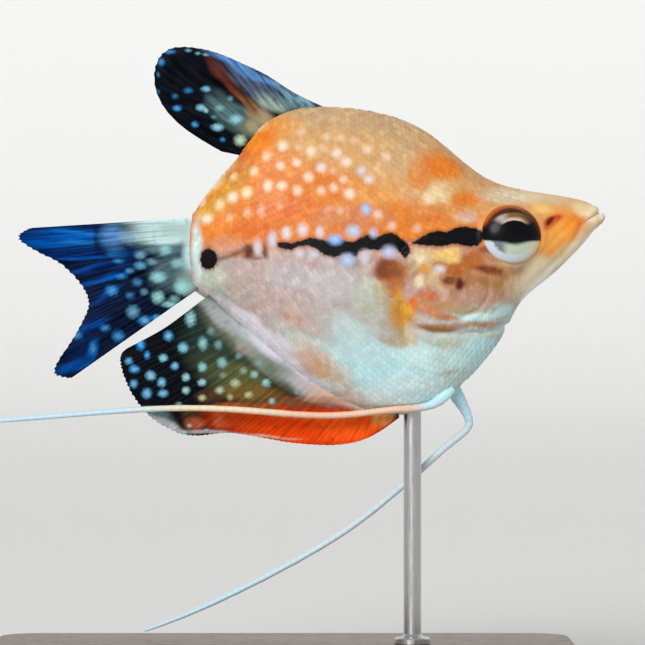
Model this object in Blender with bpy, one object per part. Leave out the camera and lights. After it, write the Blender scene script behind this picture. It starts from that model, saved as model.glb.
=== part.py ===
"""Short-bodied pearl gourami as a still, life-size display model on a stand.

Metres, +Z up. The snout points along +X, the right flank along -Y, and the origin is at the middle of the
underside of the stand. Sizes are written in millimetres and turned into metres when a mesh is made.
"""

import math

import bpy
import numpy as np

MM = 0.001
GAP = 0.3
# Past both flanks, in front of the snout and behind the tail root.
FAR = 20.0
AHEAD = 60.0
BEHIND = -30.0
SIDES = ((-1, "right"), (1, "left"))

# The body's sections, snout to tail root: the top edge's x and z, the bottom edge's x and z, the half width.
SECTIONS = (
    (42.9, 65.85, 42.9, 64.0, 1.0),  # front of the lips
    (41.8, 67.0, 41.6, 62.3, 2.0),  # corner of the mouth
    (39.4, 67.75, 39.2, 59.6, 3.0),  # jaw
    (35.6, 68.4, 35.6, 56.3, 4.1),  # nostril
    (31.4, 69.1, 32.2, 53.2, 5.3),  # eye
    (27.0, 70.8, 29.7, 48.6, 6.4),  # back of the skull
    (22.6, 74.3, 25.5, 43.4, 7.3),  # nape
    (18.4, 77.4, 20.8, 39.6, 7.9),  # shoulder
    (13.2, 79.3, 15.2, 38.0, 8.0),  # breast
    (7.4, 80.1, 9.4, 39.3, 7.6),  # vent
    (1.6, 79.8, 3.0, 42.8, 6.6),  # front of the dorsal fin
    (-3.0, 77.5, -2.2, 46.9, 5.4),  # middle of the dorsal fin
    (-6.0, 73.5, -6.6, 50.6, 4.2),  # back of the dorsal fin
    (-9.2, 69.8, -9.8, 53.4, 3.1),  # narrowing to the tail
    (-12.0, 65.8, -11.7, 54.7, 2.1),  # tail root
)
SNOUT_DOME = 0.6
TAIL_DOME = 1.0
# Where the rings that round off both ends lie, as degrees round their domes.
DOME_RINGS = (66.0, 44.0, 22.0)
# How high the widest level sits in a section, and how sharply its top and bottom edges close, snout to tail.
WIDEST = (0.0, 0.16, 0.1, -0.12, -0.16, -0.05, 0.0)
TOP_EDGE = (1.0, 0.92, 1.0, 1.08, 1.12, 1.1, 1.0)
BOTTOM_EDGE = (1.0, 1.1, 1.12, 1.05, 1.3, 1.35, 1.1)

EYE = (31.0, 62.6)
EYE_LENGTH = 4.4
EYE_HEIGHT = 4.1
EYE_DEPTH = 2.6
EYE_STANDS_OUT = 1.25
EYE_ROWS = 8
EYE_SIDES = 22
ORBIT_SWELL = 0.6
ORBIT_REACH = 5.2
NOSTRIL = (36.3, 64.4)
NOSTRIL_SIZE = (0.95, 0.5, 0.42)
NOSTRIL_SLANT = 42.0
NOSTRIL_ROWS = 4
NOSTRIL_SIDES = 10
MOUTH_FRONT = (44.6, 66.75)
MOUTH_CORNER = (41.2, 64.5)
MOUTH_LINE = 0.3
# Each lip's middle, as a height above the mouth's line, how far it stands out and its width along the snout.
UPPER_LIP = (0.6, 0.3, 0.45)
LOWER_LIP = (-0.75, 0.5, 0.65)
LIP_START = 0.9

# The gill cover's edge, and the edge of the head above, behind and below it, as x and z.
GILL_COVER = (
    (17.3, 53.0), (16.3, 56.4), (15.9, 59.4), (17.8, 61.4), (21.6, 61.7), (25.2, 60.0), (27.1, 56.0),
    (26.8, 51.8), (22.4, 49.8), (18.2, 50.1),
)
GILL_PLATE = 1.2
GILL_RISE = 0.35
GILL_LIFT_LENGTH = 12.0
GILL_LEAST_LIFT = 0.1
# The share of the rise that the cover loses right at its edge, and how close to the edge that starts.
GILL_EDGE_DROP = 0.5
GILL_EDGE_POWER = 8
GILL_SIDES = 26
GILL_RINGS = (0.35, 0.7, 0.92, 1.0)
RECESS_DEPTH = 4.0
HEAD_EDGE = (
    (22.5, 80.0), (20.4, 74.0), (17.4, 64.0), (16.6, 56.0), (18.4, 50.9), (23.0, 50.6), (28.0, 50.6),
    (34.5, 50.9),
)
HEAD_EDGE_STEPS = 25
# Added to the gap at a fin's root, because the body grows by less across its keel than along it.
ROOT_SPARE = 0.1
TAIL_ROOT_LINE = ((-8.6, 76.0), (-9.2, 48.0))

# Each fin: where its rays leave the body, then where they end, as x and z, first ray to last.
DORSAL_ROOT = ((4.0, 79.2), (-0.2, 78.4), (-3.6, 76.2), (-5.4, 73.4))
DORSAL_EDGE = (
    (4.0, 80.7), (1.0, 82.3), (-2.0, 84.3), (-5.2, 85.9), (-8.4, 87.3), (-11.8, 88.2), (-15.4, 88.1),
    (-17.4, 85.8), (-17.2, 81.8), (-14.0, 77.6), (-8.4, 74.0),
)
DORSAL_RAYS = 14
ANAL_ROOT = ((15.2, 38.6), (9.0, 39.9), (3.6, 43.0), (-1.2, 46.9), (-6.2, 51.0), (-10.4, 54.2))
ANAL_EDGE = (
    (15.0, 37.4), (10.4, 34.5), (5.2, 34.0), (0.4, 34.4), (-4.2, 35.2), (-8.6, 35.6), (-12.8, 35.3),
    (-17.0, 37.0), (-20.2, 40.2), (-22.0, 44.0), (-21.8, 46.8), (-18.4, 48.2),
)
ANAL_RAYS = 30
TAIL_ROOT = ((-11.4, 65.0), (-12.2, 62.6), (-12.6, 60.0), (-12.2, 57.2), (-11.4, 55.4))
TAIL_EDGE = (
    (-34.6, 63.6), (-36.3, 62.3), (-33.8, 60.4), (-30.2, 58.5), (-27.5, 55.6), (-26.6, 53.2), (-27.6, 50.4),
    (-29.5, 47.2), (-31.3, 44.0), (-29.0, 43.0),
)
TAIL_RAYS = 16
MEMBRANE = 0.5
RAY_ROOT = 0.45
RAY_TIP = 0.15
EDGE_SHARE = 0.55
FIN_SINK = 1.0
FIN_ROWS = 8
# How each fin strays from the middle plane: how far at its edge, how fast that grows from the root, the
# turn from first ray to last in radians, the turn from root to edge, and where the first ray starts.
DORSAL_SWAY = (0.9, 2.0, 2.2, 0.0, 0.4)
ANAL_SWAY = (0.55, 1.5, 9.0, -1.2, 0.0)
TAIL_SWAY = (0.9, 1.6, 4.2, 0.0, 0.8)

# The pectoral fin's base stands behind the gill cover. Each ray's length and direction, top ray to bottom.
PECTORAL_PLACE = (16.4, 51.5)
PECTORAL_BASE = 4.2
PECTORAL_REACH = ((10.0, 163.0), (12.2, 174.0), (12.4, 186.0), (10.6, 200.0), (8.0, 216.0), (5.6, 236.0))
PECTORAL_SPLAY = 12.0
PECTORAL_SHOULDER = 1.3
PECTORAL_SINK = 0.5
PECTORAL_RAYS = 10
PECTORAL_ROWS = 6
# How much sooner the upper and lower rays step out from the flank than the middle ones.
PECTORAL_FAN = 0.4

# The thread-like pelvic fins, root to tip: x, z, how far the middle stands off the skin or, past the body,
# off the middle plane, and half the thickness. The right one lies along the belly and the left one hangs.
RIGHT_FEELER = (
    (22.6, 42.0, -0.8, 1.0), (21.0, 40.1, 1.0, 0.7), (18.4, 39.2, 1.0, 0.52), (14.6, 38.9, 1.1, 0.48),
    (9.4, 38.3, 2.6, 0.46), (3.0, 38.2, 2.5, 0.45), (-6.0, 38.9, 2.6, 0.43), (-16.0, 39.1, 3.2, 0.41),
    (-27.0, 38.4, 4.3, 0.36), (-37.0, 37.6, 5.3, 0.3), (-43.9, 37.1, 6.0, 0.16),
)
LEFT_FEELER = (
    (22.9, 42.0, -0.8, 1.1), (24.1, 40.1, 2.0, 0.85), (25.2, 38.0, 2.5, 0.6), (25.1, 36.2, 2.8, 0.52),
    (22.8, 34.2, 3.2, 0.5), (19.9, 31.6, 3.7, 0.48), (15.9, 28.0, 4.3, 0.46), (10.4, 23.5, 5.1, 0.44),
    (5.0, 19.9, 5.9, 0.42), (-0.6, 16.7, 6.7, 0.4), (-6.2, 13.8, 7.4, 0.37), (-11.9, 11.1, 8.0, 0.33),
    (-17.0, 9.0, 8.5, 0.25), (-19.2, 8.2, 8.7, 0.16),
)
# How much flatter and broader a feeler is where it leaves the body, and the share of its length that is.
FEELER_ROOT = 0.16
FEELER_THIN = 0.35
FEELER_BROAD = 0.55
FEELER_SIDES = 8
FEELER_RINGS = 15
# Where each feeler is divided, as shares of the way along it.
RIGHT_FEELER_CUTS = (0.36, 0.7)
LEFT_FEELER_CUTS = (0.27, 0.64)

BASE_LENGTH = 80.0
BASE_WIDTH = 44.0
BASE_HEIGHT = 7.0
BASE_CORNER = 6.0
BASE_BEVEL = 0.8
CORNER_STEPS = 7
ROD_X = 17.6
ROD_RADIUS = 1.2
ROD_TOP = 42.0
ROD_FOOT = 1.5
ROD_SIDES = 20

SIDE_STEPS = 18
BODY_STEPS = 54
# Halvings that find a point's place along the body, and how far apart the skin's slope is measured.
HALVINGS = 40
SLOPE_REACH = 2.0
SHARP_ANGLE = 40.0
QUARTER_TURN = math.pi / 2
FULL_TURN = 2 * math.pi


def spline(knots, at):
    """Natural cubic spline through evenly spaced knots, read at places from 0 to 1."""
    knots = np.asarray(knots, float)
    count = len(knots)
    flat = knots.reshape(count, -1)
    matrix = np.eye(count)
    right = np.zeros_like(flat)
    for i in range(1, count - 1):
        matrix[i, i - 1 : i + 2] = (1, 4, 1)
        right[i] = 6 * (flat[i + 1] - 2 * flat[i] + flat[i - 1])
    bend = np.linalg.solve(matrix, right)
    place = np.clip(np.asarray(at, float), 0, 1) * (count - 1)
    i = np.minimum(place.astype(int), count - 2)
    t = (place - i)[..., None]
    value = (
        (1 - t) * flat[i]
        + t * flat[i + 1]
        + ((1 - t) ** 3 - (1 - t)) * bend[i] / 6
        + (t**3 - t) * bend[i + 1] / 6
    )
    return value.reshape(np.shape(at) + knots.shape[1:])


def closed_spline(knots, at):
    """Smooth closed line through the knots, read at places from 0 to 1 round it."""
    knots = list(knots)
    wrapped = knots[-3:] + knots + knots[:3]
    start = 3 / (len(wrapped) - 1)
    span = len(knots) / (len(wrapped) - 1)
    return spline(wrapped, start + np.asarray(at, float) * span)


def section(s):
    """The body at s, snout 0 to tail 1: top, bottom, half width, widest level and both edges' powers."""
    row = spline(SECTIONS, s)
    return (
        row[..., 0:2],
        row[..., 2:4],
        row[..., 4],
        spline(WIDEST, s),
        spline(TOP_EDGE, s),
        spline(BOTTOM_EDGE, s),
    )


def swell(x, z):
    """How far the flesh round the eye stands out."""
    reach = np.hypot(x - EYE[0], z - EYE[1])
    return ORBIT_SWELL * np.exp(-((reach / ORBIT_REACH) ** 2))


def half_width(x, z):
    """The body's half width where the side view shows the point x, z."""
    x, z = np.broadcast_arrays(np.asarray(x, float), np.asarray(z, float))
    low, high = np.zeros(x.shape), np.ones(x.shape)
    for _ in range(HALVINGS):
        middle = (low + high) / 2
        top, bottom = section(middle)[:2]
        up = top - bottom
        behind = up[..., 0] * (z - bottom[..., 1]) - up[..., 1] * (x - bottom[..., 0]) > 0
        low = np.where(behind, middle, low)
        high = np.where(behind, high, middle)
    top, bottom, width, widest, top_power, bottom_power = section(low)
    up = top - bottom
    along = ((x - bottom[..., 0]) * up[..., 0] + (z - bottom[..., 1]) * up[..., 1]) / (up**2).sum(-1)
    t = np.clip(2 * along - 1, -1, 1)
    q = (t - widest) / (1 - widest * t)
    power = np.where(q > 0, top_power, bottom_power)
    edge = np.clip(1 - q**2, 0, 1)
    return width * edge ** (power / 2) + swell(x, z) * np.sqrt(edge)


def along_mouth():
    """The mouth's line in the side view: the way it runs forward, and the way across it, upwards."""
    along = np.array(MOUTH_FRONT) - MOUTH_CORNER
    along /= np.linalg.norm(along)
    return along, np.array([-along[1], along[0]])


def lip_rise(x, z):
    """How far the lips stand out, on both sides of the mouth's line and in front of its corner."""
    along, across = along_mouth()
    ahead = (x - MOUTH_CORNER[0]) * along[0] + (z - MOUTH_CORNER[1]) * along[1]
    above = (x - MOUTH_CORNER[0]) * across[0] + (z - MOUTH_CORNER[1]) * across[1]
    share = np.clip(ahead / LIP_START, 0, 1)
    lips = 0
    for level, rise, width in (UPPER_LIP, LOWER_LIP):
        lips = lips + rise * np.exp(-(((above - level) / width) ** 2))
    return lips * share**2 * (3 - 2 * share)


def body_rings(grow=0.0):
    """Rings round the body, snout to tail, up the right side and down the left, and its two end points."""
    rounding = np.radians(DOME_RINGS)
    ends = len(rounding)
    places = np.concatenate([np.zeros(ends), np.linspace(0, 1, BODY_STEPS), np.ones(ends)])
    shrink = np.concatenate([np.cos(rounding), np.ones(BODY_STEPS), np.cos(rounding[::-1])])
    shift = np.concatenate(
        [
            (SNOUT_DOME + grow) * np.sin(rounding),
            np.zeros(BODY_STEPS),
            -(TAIL_DOME + grow) * np.sin(rounding[::-1]),
        ]
    )
    top, bottom, width, widest, top_power, bottom_power = section(places)
    middle = (top + bottom) / 2
    half = (top - bottom) / 2
    length = np.linalg.norm(half, axis=1, keepdims=True)
    half = half * (length + grow) / length
    angle = np.linspace(-QUARTER_TURN, QUARTER_TURN, SIDE_STEPS + 1)[None, :]
    q = np.sin(angle)
    edge = np.clip(np.cos(angle), 0, 1)
    t = (q + widest[:, None]) / (1 + widest[:, None] * q)
    power = np.where(q > 0, top_power[:, None], bottom_power[:, None])
    x = middle[:, :1] + half[:, :1] * t
    z = middle[:, 1:] + half[:, 1:] * t
    side = (width + grow)[:, None] * edge**power + swell(x, z) * edge
    x = middle[:, :1] + half[:, :1] * t * shrink[:, None] + shift[:, None]
    z = middle[:, 1:] + half[:, 1:] * t * shrink[:, None]
    side = side * shrink[:, None]
    away_x, away_z = x - MOUTH_CORNER[0], z - MOUTH_CORNER[1]
    swollen = 1 + lip_rise(x, z) / np.maximum(np.sqrt(away_x**2 + side**2 + away_z**2), GAP)
    x = MOUTH_CORNER[0] + away_x * swollen
    side = side * swollen
    z = MOUTH_CORNER[1] + away_z * swollen
    right = np.stack([x, -side, z], -1)
    left = np.stack([x, side, z], -1)[:, -2:0:-1]
    snout = (x[0].mean(), 0.0, z[0].mean())
    tail = (middle[-1, 0] - TAIL_DOME - grow, 0.0, middle[-1, 1])
    return np.concatenate([right, left], axis=1), snout, tail


def on_skin(x, z, side):
    """The point of the skin that the side view shows at x, z, and the way the skin faces there."""
    rise_x = half_width(x + SLOPE_REACH, z) - half_width(x - SLOPE_REACH, z)
    rise_z = half_width(x, z + SLOPE_REACH) - half_width(x, z - SLOPE_REACH)
    facing = np.array([-rise_x, side * 2 * SLOPE_REACH, -rise_z])
    return np.array([x, side * half_width(x, z), z]), facing / np.linalg.norm(facing)


def add_mesh(name, points, faces):
    """An object made of points in millimetres and faces, placed by its mesh."""
    mesh = bpy.data.meshes.new(name)
    mesh.from_pydata((np.asarray(points, float) * MM).tolist(), [], [tuple(map(int, f)) for f in faces])
    mesh.validate()
    thing = bpy.data.objects.new(name, mesh)
    bpy.context.scene.collection.objects.link(thing)
    return thing


def lofted(name, rings, first=None, last=None):
    """A closed solid through rings of points. A point closes each end: its ring's middle, if not given."""
    rings = np.asarray(rings, float)
    count, around = rings.shape[:2]
    first = rings[0].mean(0) if first is None else first
    last = rings[-1].mean(0) if last is None else last
    points = np.concatenate([rings.reshape(-1, 3), [first, last]])
    start, end = count * around, count * around + 1
    faces = []
    for i in range(count - 1):
        for j in range(around):
            k = (j + 1) % around
            a, b, c, d = i * around + j, i * around + k, (i + 1) * around + k, (i + 1) * around + j
            faces += [(a, b, c), (a, c, d)]
    for j in range(around):
        k = (j + 1) % around
        faces.append((start, k, j))
        faces.append((end, (count - 1) * around + j, (count - 1) * around + k))
    return outward(add_mesh(name, points, faces))


def outward(thing):
    """Turns a closed mesh's faces outwards if they point in."""
    mesh = thing.data
    mesh.calc_loop_triangles()
    corners = np.array([[mesh.vertices[v].co for v in t.vertices] for t in mesh.loop_triangles])
    if np.linalg.det(corners).sum() < 0:
        mesh.flip_normals()
    return thing


def prism(name, outline, low, high):
    """The x and z outline carried along y from low to high."""
    outline = np.asarray(outline, float)
    count = len(outline)
    ends = [np.column_stack([outline[:, 0], np.full(count, y), outline[:, 1]]) for y in (low, high)]
    faces = [tuple(range(count)), tuple(range(2 * count - 1, count - 1, -1))]
    faces += [(i, (i + 1) % count, count + (i + 1) % count, count + i) for i in range(count)]
    return outward(add_mesh(name, np.concatenate(ends), faces))


def boolean(thing, other, operation):
    """Joins, cuts or keeps what two solids share, then removes the second."""
    modifier = thing.modifiers.new(operation.lower(), "BOOLEAN")
    modifier.operation = operation
    modifier.object = other
    modifier.solver = "EXACT"
    apply_modifiers(thing)
    bpy.data.objects.remove(other)
    return thing


def apply_modifiers(thing):
    """Makes the object's mesh what its modifiers give."""
    bpy.context.view_layer.update()
    graph = bpy.context.evaluated_depsgraph_get()
    made = bpy.data.meshes.new_from_object(thing.evaluated_get(graph))
    thing.modifiers.clear()
    thing.data = made
    return thing


def copy_of(thing, name):
    """A separate copy of an object and its mesh."""
    twin = bpy.data.objects.new(name, thing.data.copy())
    bpy.context.scene.collection.objects.link(twin)
    return twin


def keep_largest(thing):
    """Drops every loose piece of the mesh but the largest closed one."""
    mesh = thing.data
    mesh.calc_loop_triangles()
    points = np.array([v.co for v in mesh.vertices])
    owner = np.arange(len(points))
    ends = np.array([e.vertices for e in mesh.edges])
    changed = True
    while changed:
        low = np.minimum(owner[ends[:, 0]], owner[ends[:, 1]])
        before = owner.copy()
        np.minimum.at(owner, ends[:, 0], low)
        np.minimum.at(owner, ends[:, 1], low)
        owner = owner[owner]
        changed = bool((owner != before).any())
    triangles = np.array([t.vertices for t in mesh.loop_triangles])
    volume = np.linalg.det(points[triangles])
    totals = np.bincount(owner[triangles[:, 0]], weights=volume, minlength=len(points))
    kept = triangles[owner[triangles[:, 0]] == totals.argmax()]
    used, index = np.unique(kept, return_inverse=True)
    mesh.clear_geometry()
    mesh.from_pydata(points[used].tolist(), [], index.reshape(-1, 3).tolist())
    return thing


def finish(thing, name, material):
    """Names a node, gives it its material and shades it smooth."""
    thing.name = name
    thing.data.name = name
    thing.data.materials.clear()
    thing.data.materials.append(material)
    thing.data.shade_smooth()
    thing.data.set_sharp_from_angle(angle=math.radians(SHARP_ANGLE))
    return thing


def material(name, colour, roughness, metallic=0.0):
    """A plain finish."""
    made = bpy.data.materials.new(name)
    made.use_nodes = True
    shader = made.node_tree.nodes["Principled BSDF"]
    shader.inputs["Base Color"].default_value = (*colour, 1.0)
    shader.inputs["Roughness"].default_value = roughness
    shader.inputs["Metallic"].default_value = metallic
    return made


def offset_line(line, distance):
    """The line moved sideways, to its left where distance is positive."""
    line = np.asarray(line, float)
    along = np.gradient(line, axis=0)
    along /= np.linalg.norm(along, axis=1, keepdims=True)
    return line + distance * np.column_stack([-along[:, 1], along[:, 0]])


def head_outline(distance=0.0):
    """Everything in front of the head's edge, with that edge moved back by distance."""
    edge = offset_line(spline(HEAD_EDGE, np.linspace(0, 1, HEAD_EDGE_STEPS)), -distance)
    return np.concatenate([edge, [(AHEAD, edge[-1, 1])], [(AHEAD, edge[0, 1])]])


def tail_outline(distance=0.0):
    """Everything behind the line where the tail stalk begins, with that line moved forward by distance."""
    line = np.array(TAIL_ROOT_LINE) + (distance, 0)
    return np.array([line[0], line[1], (BEHIND, line[1, 1]), (BEHIND, line[0, 1])])


def gill_plate(name, side, grow=0.0):
    """The gill cover: its outer face lifts off the skin towards the back, its inner face lies under it.

    Grown, it is the recess that the cover lies in, open to the outside.
    """
    edge = closed_spline(GILL_COVER, np.linspace(0, 1, GILL_SIDES, endpoint=False))
    centre = edge.mean(0)
    spoke = edge - centre
    reach = np.linalg.norm(spoke, axis=1, keepdims=True)
    spoke = spoke * (reach + grow) / reach
    share = np.array(GILL_RINGS)[:, None, None]
    flat = centre + share * spoke
    skin = half_width(flat[..., 0], flat[..., 1])
    lift = np.clip(0.5 + (centre[0] - flat[..., 0]) / GILL_LIFT_LENGTH, GILL_LEAST_LIFT, 1)
    edge_drop = 1 - GILL_EDGE_DROP * share[..., 0] ** GILL_EDGE_POWER
    outer = skin + (RECESS_DEPTH if grow else GILL_RISE * lift * edge_drop)
    inner = skin - GILL_PLATE - grow
    rings = np.concatenate(
        [
            np.stack([flat[..., 0], side * outer, flat[..., 1]], -1),
            np.stack([flat[..., 0], side * inner, flat[..., 1]], -1)[::-1],
        ]
    )
    return lofted(name, rings)


def ball(name, centre, axes, radii, rows, around):
    """A closed ball stretched along three axes, with its poles on the second."""
    axes, radii = np.asarray(axes, float), np.asarray(radii, float)[:, None]
    turn = np.linspace(0, FULL_TURN, around, endpoint=False)[None, :]
    tilt = np.linspace(-QUARTER_TURN, QUARTER_TURN, rows + 1)[1:-1, None]
    level = np.cos(tilt)
    local = np.stack([level * np.cos(turn), np.sin(tilt) + 0 * turn, level * np.sin(turn)], -1)
    arms = axes * radii
    return lofted(name, centre + local @ arms, centre - arms[1], centre + arms[1])


def eyeball(name, side, grow=0.0):
    """An eye, flattened along the way it looks, which is the way the skin faces round it."""
    place, out = on_skin(*EYE, side)
    forward = np.array([1.0, 0.0, 0.0]) - out * out[0]
    forward /= np.linalg.norm(forward)
    centre = place + out * (EYE_STANDS_OUT - EYE_DEPTH)
    radii = (EYE_LENGTH + grow, EYE_DEPTH + grow, EYE_HEIGHT + grow)
    return ball(name, centre, (forward, out, np.cross(forward, out)), radii, EYE_ROWS, EYE_SIDES)


def nostril(side):
    """The slanting pit in front of an eye."""
    place, out = on_skin(*NOSTRIL, side)
    slant = math.radians(NOSTRIL_SLANT)
    along = np.array([math.cos(slant), 0.0, math.sin(slant)])
    along -= out * np.dot(along, out)
    along /= np.linalg.norm(along)
    axes = (along, out, np.cross(along, out))
    return ball("nostril", place, axes, NOSTRIL_SIZE, NOSTRIL_ROWS, NOSTRIL_SIDES)


def mouth_line():
    """The thin cut between the lips, from the front back to the mouth's corners."""
    front, corner = np.array(MOUTH_FRONT), np.array(MOUTH_CORNER)
    across = along_mouth()[1] * MOUTH_LINE / 2
    outline = [corner - across, front - across, front + across, corner + across]
    return prism("mouth", outline, -FAR, FAR)


def fin_faces(root, edge, rays, rows, sway):
    """Both faces of a fin as grids of points: each ray is a ridge that fades from the root to the edge."""
    u = np.linspace(0, 1, rays * 2 + 1)
    v = np.linspace(0, 1, rows + 1)[:, None]
    start, end = spline(root, u), spline(edge, u)
    inward = (start - end) / np.linalg.norm(start - end, axis=1, keepdims=True)
    start = start + inward * FIN_SINK
    flat = start + v[..., None] * (end - start)
    ridge = 0.5 - 0.5 * np.cos(FULL_TURN * rays * u)
    thick = MEMBRANE + (RAY_ROOT + (RAY_TIP - RAY_ROOT) * v) * ridge
    thick[-1] *= EDGE_SHARE
    y = strayed(sway, u[None, :], v)
    left = np.stack([flat[..., 0], y + thick / 2, flat[..., 1]], -1)
    right = np.stack([flat[..., 0], y - thick / 2, flat[..., 1]], -1)
    return left, right


def plate(name, left, right):
    """A thin closed solid between two grids of points, split into triangles alike on both faces."""
    rows, columns = left.shape[:2]
    points = np.concatenate([left.reshape(-1, 3), right.reshape(-1, 3)])
    other = rows * columns
    faces = []
    for i in range(rows - 1):
        for j in range(columns - 1):
            a = i * columns + j
            b, c, d = a + 1, a + columns + 1, a + columns
            faces += [(a, b, c), (a, c, d)]
            faces += [(other + a, other + c, other + b), (other + a, other + d, other + c)]
    rim = list(range(columns))
    rim += [i * columns + columns - 1 for i in range(1, rows)]
    rim += [(rows - 1) * columns + j for j in range(columns - 2, -1, -1)]
    rim += [i * columns for i in range(rows - 2, 0, -1)]
    for a, b in zip(rim, rim[1:] + rim[:1]):
        faces += [(b, a, other + a), (b, other + a, other + b)]
    return outward(add_mesh(name, points, faces))


def strayed(sway, u, v):
    """How far a fin strays from the middle plane, at u from first ray to last and v from root to edge."""
    most, growth, along_edge, along_ray, start = sway
    return most * v**growth * np.sin(along_edge * u + along_ray * v + start)


def pectoral_fin(name, side):
    """A fan of rays that steps out from the flank behind the gill cover and then lies back along it."""
    u = np.linspace(0, 1, PECTORAL_RAYS * 2 + 1)
    v = np.linspace(0, 1, PECTORAL_ROWS + 1)[:, None]
    reach = spline(PECTORAL_REACH, u)
    angle = np.radians(reach[:, 1])
    x, z = PECTORAL_PLACE
    start = np.column_stack([np.full(len(u), x), z + PECTORAL_BASE * (0.5 - u)])
    ray = reach[:, :1] * np.column_stack([np.cos(angle), np.sin(angle)])
    flat = start + v[..., None] * ray
    behind = x - flat[..., 0] + PECTORAL_FAN * np.abs(flat[..., 1] - start[:, 1])
    out = half_width(x, z) - PECTORAL_SINK + PECTORAL_SHOULDER * (1 - np.exp(-behind))
    out = out + math.tan(math.radians(PECTORAL_SPLAY)) * behind
    ridge = 0.5 - 0.5 * np.cos(FULL_TURN * PECTORAL_RAYS * u)
    thick = MEMBRANE + (RAY_ROOT / 2 + (RAY_TIP - RAY_ROOT / 2) * v) * ridge
    thick[-1] *= EDGE_SHARE
    outer = np.stack([flat[..., 0], side * (out + thick / 2), flat[..., 1]], -1)
    inner = np.stack([flat[..., 0], side * (out - thick / 2), flat[..., 1]], -1)
    return plate(name, outer, inner)


def tube(name, line, radii, flatten):
    """A tapering tube along a line, its section made taller in the side view by flatten."""
    along = np.gradient(line, axis=0)
    along /= np.linalg.norm(along, axis=1, keepdims=True)
    across = np.column_stack([-along[:, 2], np.zeros(len(line)), along[:, 0]])
    across /= np.linalg.norm(across, axis=1, keepdims=True)
    out = np.cross(along, across)
    turn = np.linspace(0, FULL_TURN, FEELER_SIDES, endpoint=False)
    rings = (
        line[:, None]
        + (radii * flatten)[:, None, None] * np.cos(turn)[None, :, None] * across[:, None]
        + radii[:, None, None] * np.sin(turn)[None, :, None] * out[:, None]
    )
    return lofted(name, rings)


def feeler_line(knots, side):
    """The feeler's knots as x, y, z and half thickness."""
    x, z, off, radius = np.array(knots).T
    return np.column_stack([x, side * (half_width(x, z) + off), z, radius])


def feeler_length(name, line, start, stop):
    """One length of a feeler, flat and broad at the body, round further out."""
    s = np.linspace(start, stop, FEELER_RINGS)
    rows = spline(line, s)
    root = np.clip(1 - s / FEELER_ROOT, 0, 1)
    return tube(name, rows[:, :3], rows[:, 3] * (1 - FEELER_THIN * root), 1 + FEELER_BROAD * root)


def feeler_lengths(line, cuts):
    """The places where each length of a feeler starts and stops, with the gap between neighbours."""
    step = 0.001
    ends = [0.0]
    for cut in cuts:
        pace = np.linalg.norm(spline(line, cut + step)[:3] - spline(line, cut - step)[:3]) / (2 * step)
        ends += [cut - GAP / pace / 2, cut + GAP / pace / 2]
    ends.append(1.0)
    return list(zip(("base", "middle", "tip"), ends[::2], ends[1::2]))


def build_body(body, finishes):
    """The body parted into head, torso and tail stalk, with gill covers and eyes let into it."""
    head = boolean(copy_of(body, "head"), prism("front", head_outline(), -FAR, FAR), "INTERSECT")
    torso = boolean(copy_of(body, "torso"), prism("front", head_outline(GAP), -FAR, FAR), "DIFFERENCE")
    torso = boolean(torso, prism("back", tail_outline(GAP), -FAR, FAR), "DIFFERENCE")
    stalk = boolean(copy_of(body, "tail_stalk"), prism("back", tail_outline(), -FAR, FAR), "INTERSECT")
    boolean(head, mouth_line(), "DIFFERENCE")
    boolean(torso, rod("hole", GAP), "DIFFERENCE")
    for side, word in SIDES:
        boolean(head, nostril(side), "DIFFERENCE")
        boolean(head, eyeball("socket", side, GAP), "DIFFERENCE")
        boolean(head, gill_plate("recess", side, GAP), "DIFFERENCE")
        boolean(torso, gill_plate("recess", side, GAP), "DIFFERENCE")
        finish(gill_plate("cover", side), f"gill_cover_{word}", finishes["skin"])
        finish(eyeball("eye", side), f"eye_{word}", finishes["eye"])
    for thing, name in ((head, "head"), (torso, "torso"), (stalk, "tail_stalk")):
        finish(keep_largest(thing), name, finishes["skin"])


def rooted(thing, grown, name, finish_of):
    """Cuts a fin's or a feeler's root back to the skin, with the gap that neighbours keep."""
    boolean(thing, copy_of(grown, "cutter"), "DIFFERENCE")
    return finish(keep_largest(thing), name, finish_of)


def build_fins(grown, finishes):
    """The three fins on the middle plane and the pair behind the gill covers."""
    middle = (
        ("dorsal_fin", DORSAL_ROOT, DORSAL_EDGE, DORSAL_RAYS, DORSAL_SWAY),
        ("anal_fin", ANAL_ROOT, ANAL_EDGE, ANAL_RAYS, ANAL_SWAY),
        ("tail_fin", TAIL_ROOT, TAIL_EDGE, TAIL_RAYS, TAIL_SWAY),
    )
    for name, root, edge, rays, sway in middle:
        made = plate("fin", *fin_faces(root, edge, rays, FIN_ROWS, sway))
        rooted(made, grown, name, finishes["fin"])
    for side, word in SIDES:
        rooted(pectoral_fin("fin", side), grown, f"pectoral_fin_{word}", finishes["fin"])


def build_feelers(grown, finishes):
    """Both thread-like pelvic fins, each in three lengths."""
    routes = ((RIGHT_FEELER, RIGHT_FEELER_CUTS), (LEFT_FEELER, LEFT_FEELER_CUTS))
    for (side, word), (knots, cuts) in zip(SIDES, routes):
        line = feeler_line(knots, side)
        for part, start, stop in feeler_lengths(line, cuts):
            made = feeler_length("feeler", line, start, stop)
            rooted(made, grown, f"feeler_{word}_{part}", finishes["feeler"])


def rod(name, grow=0.0):
    """The upright that holds the fish by the breast."""
    turn = np.linspace(0, FULL_TURN, ROD_SIDES, endpoint=False)
    x = ROD_X + (ROD_RADIUS + grow) * np.cos(turn)
    y = (ROD_RADIUS + grow) * np.sin(turn)
    levels = (BASE_HEIGHT - ROD_FOOT - grow, ROD_TOP + grow)
    return lofted(name, [np.column_stack([x, y, np.full(ROD_SIDES, z)]) for z in levels])


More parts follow.
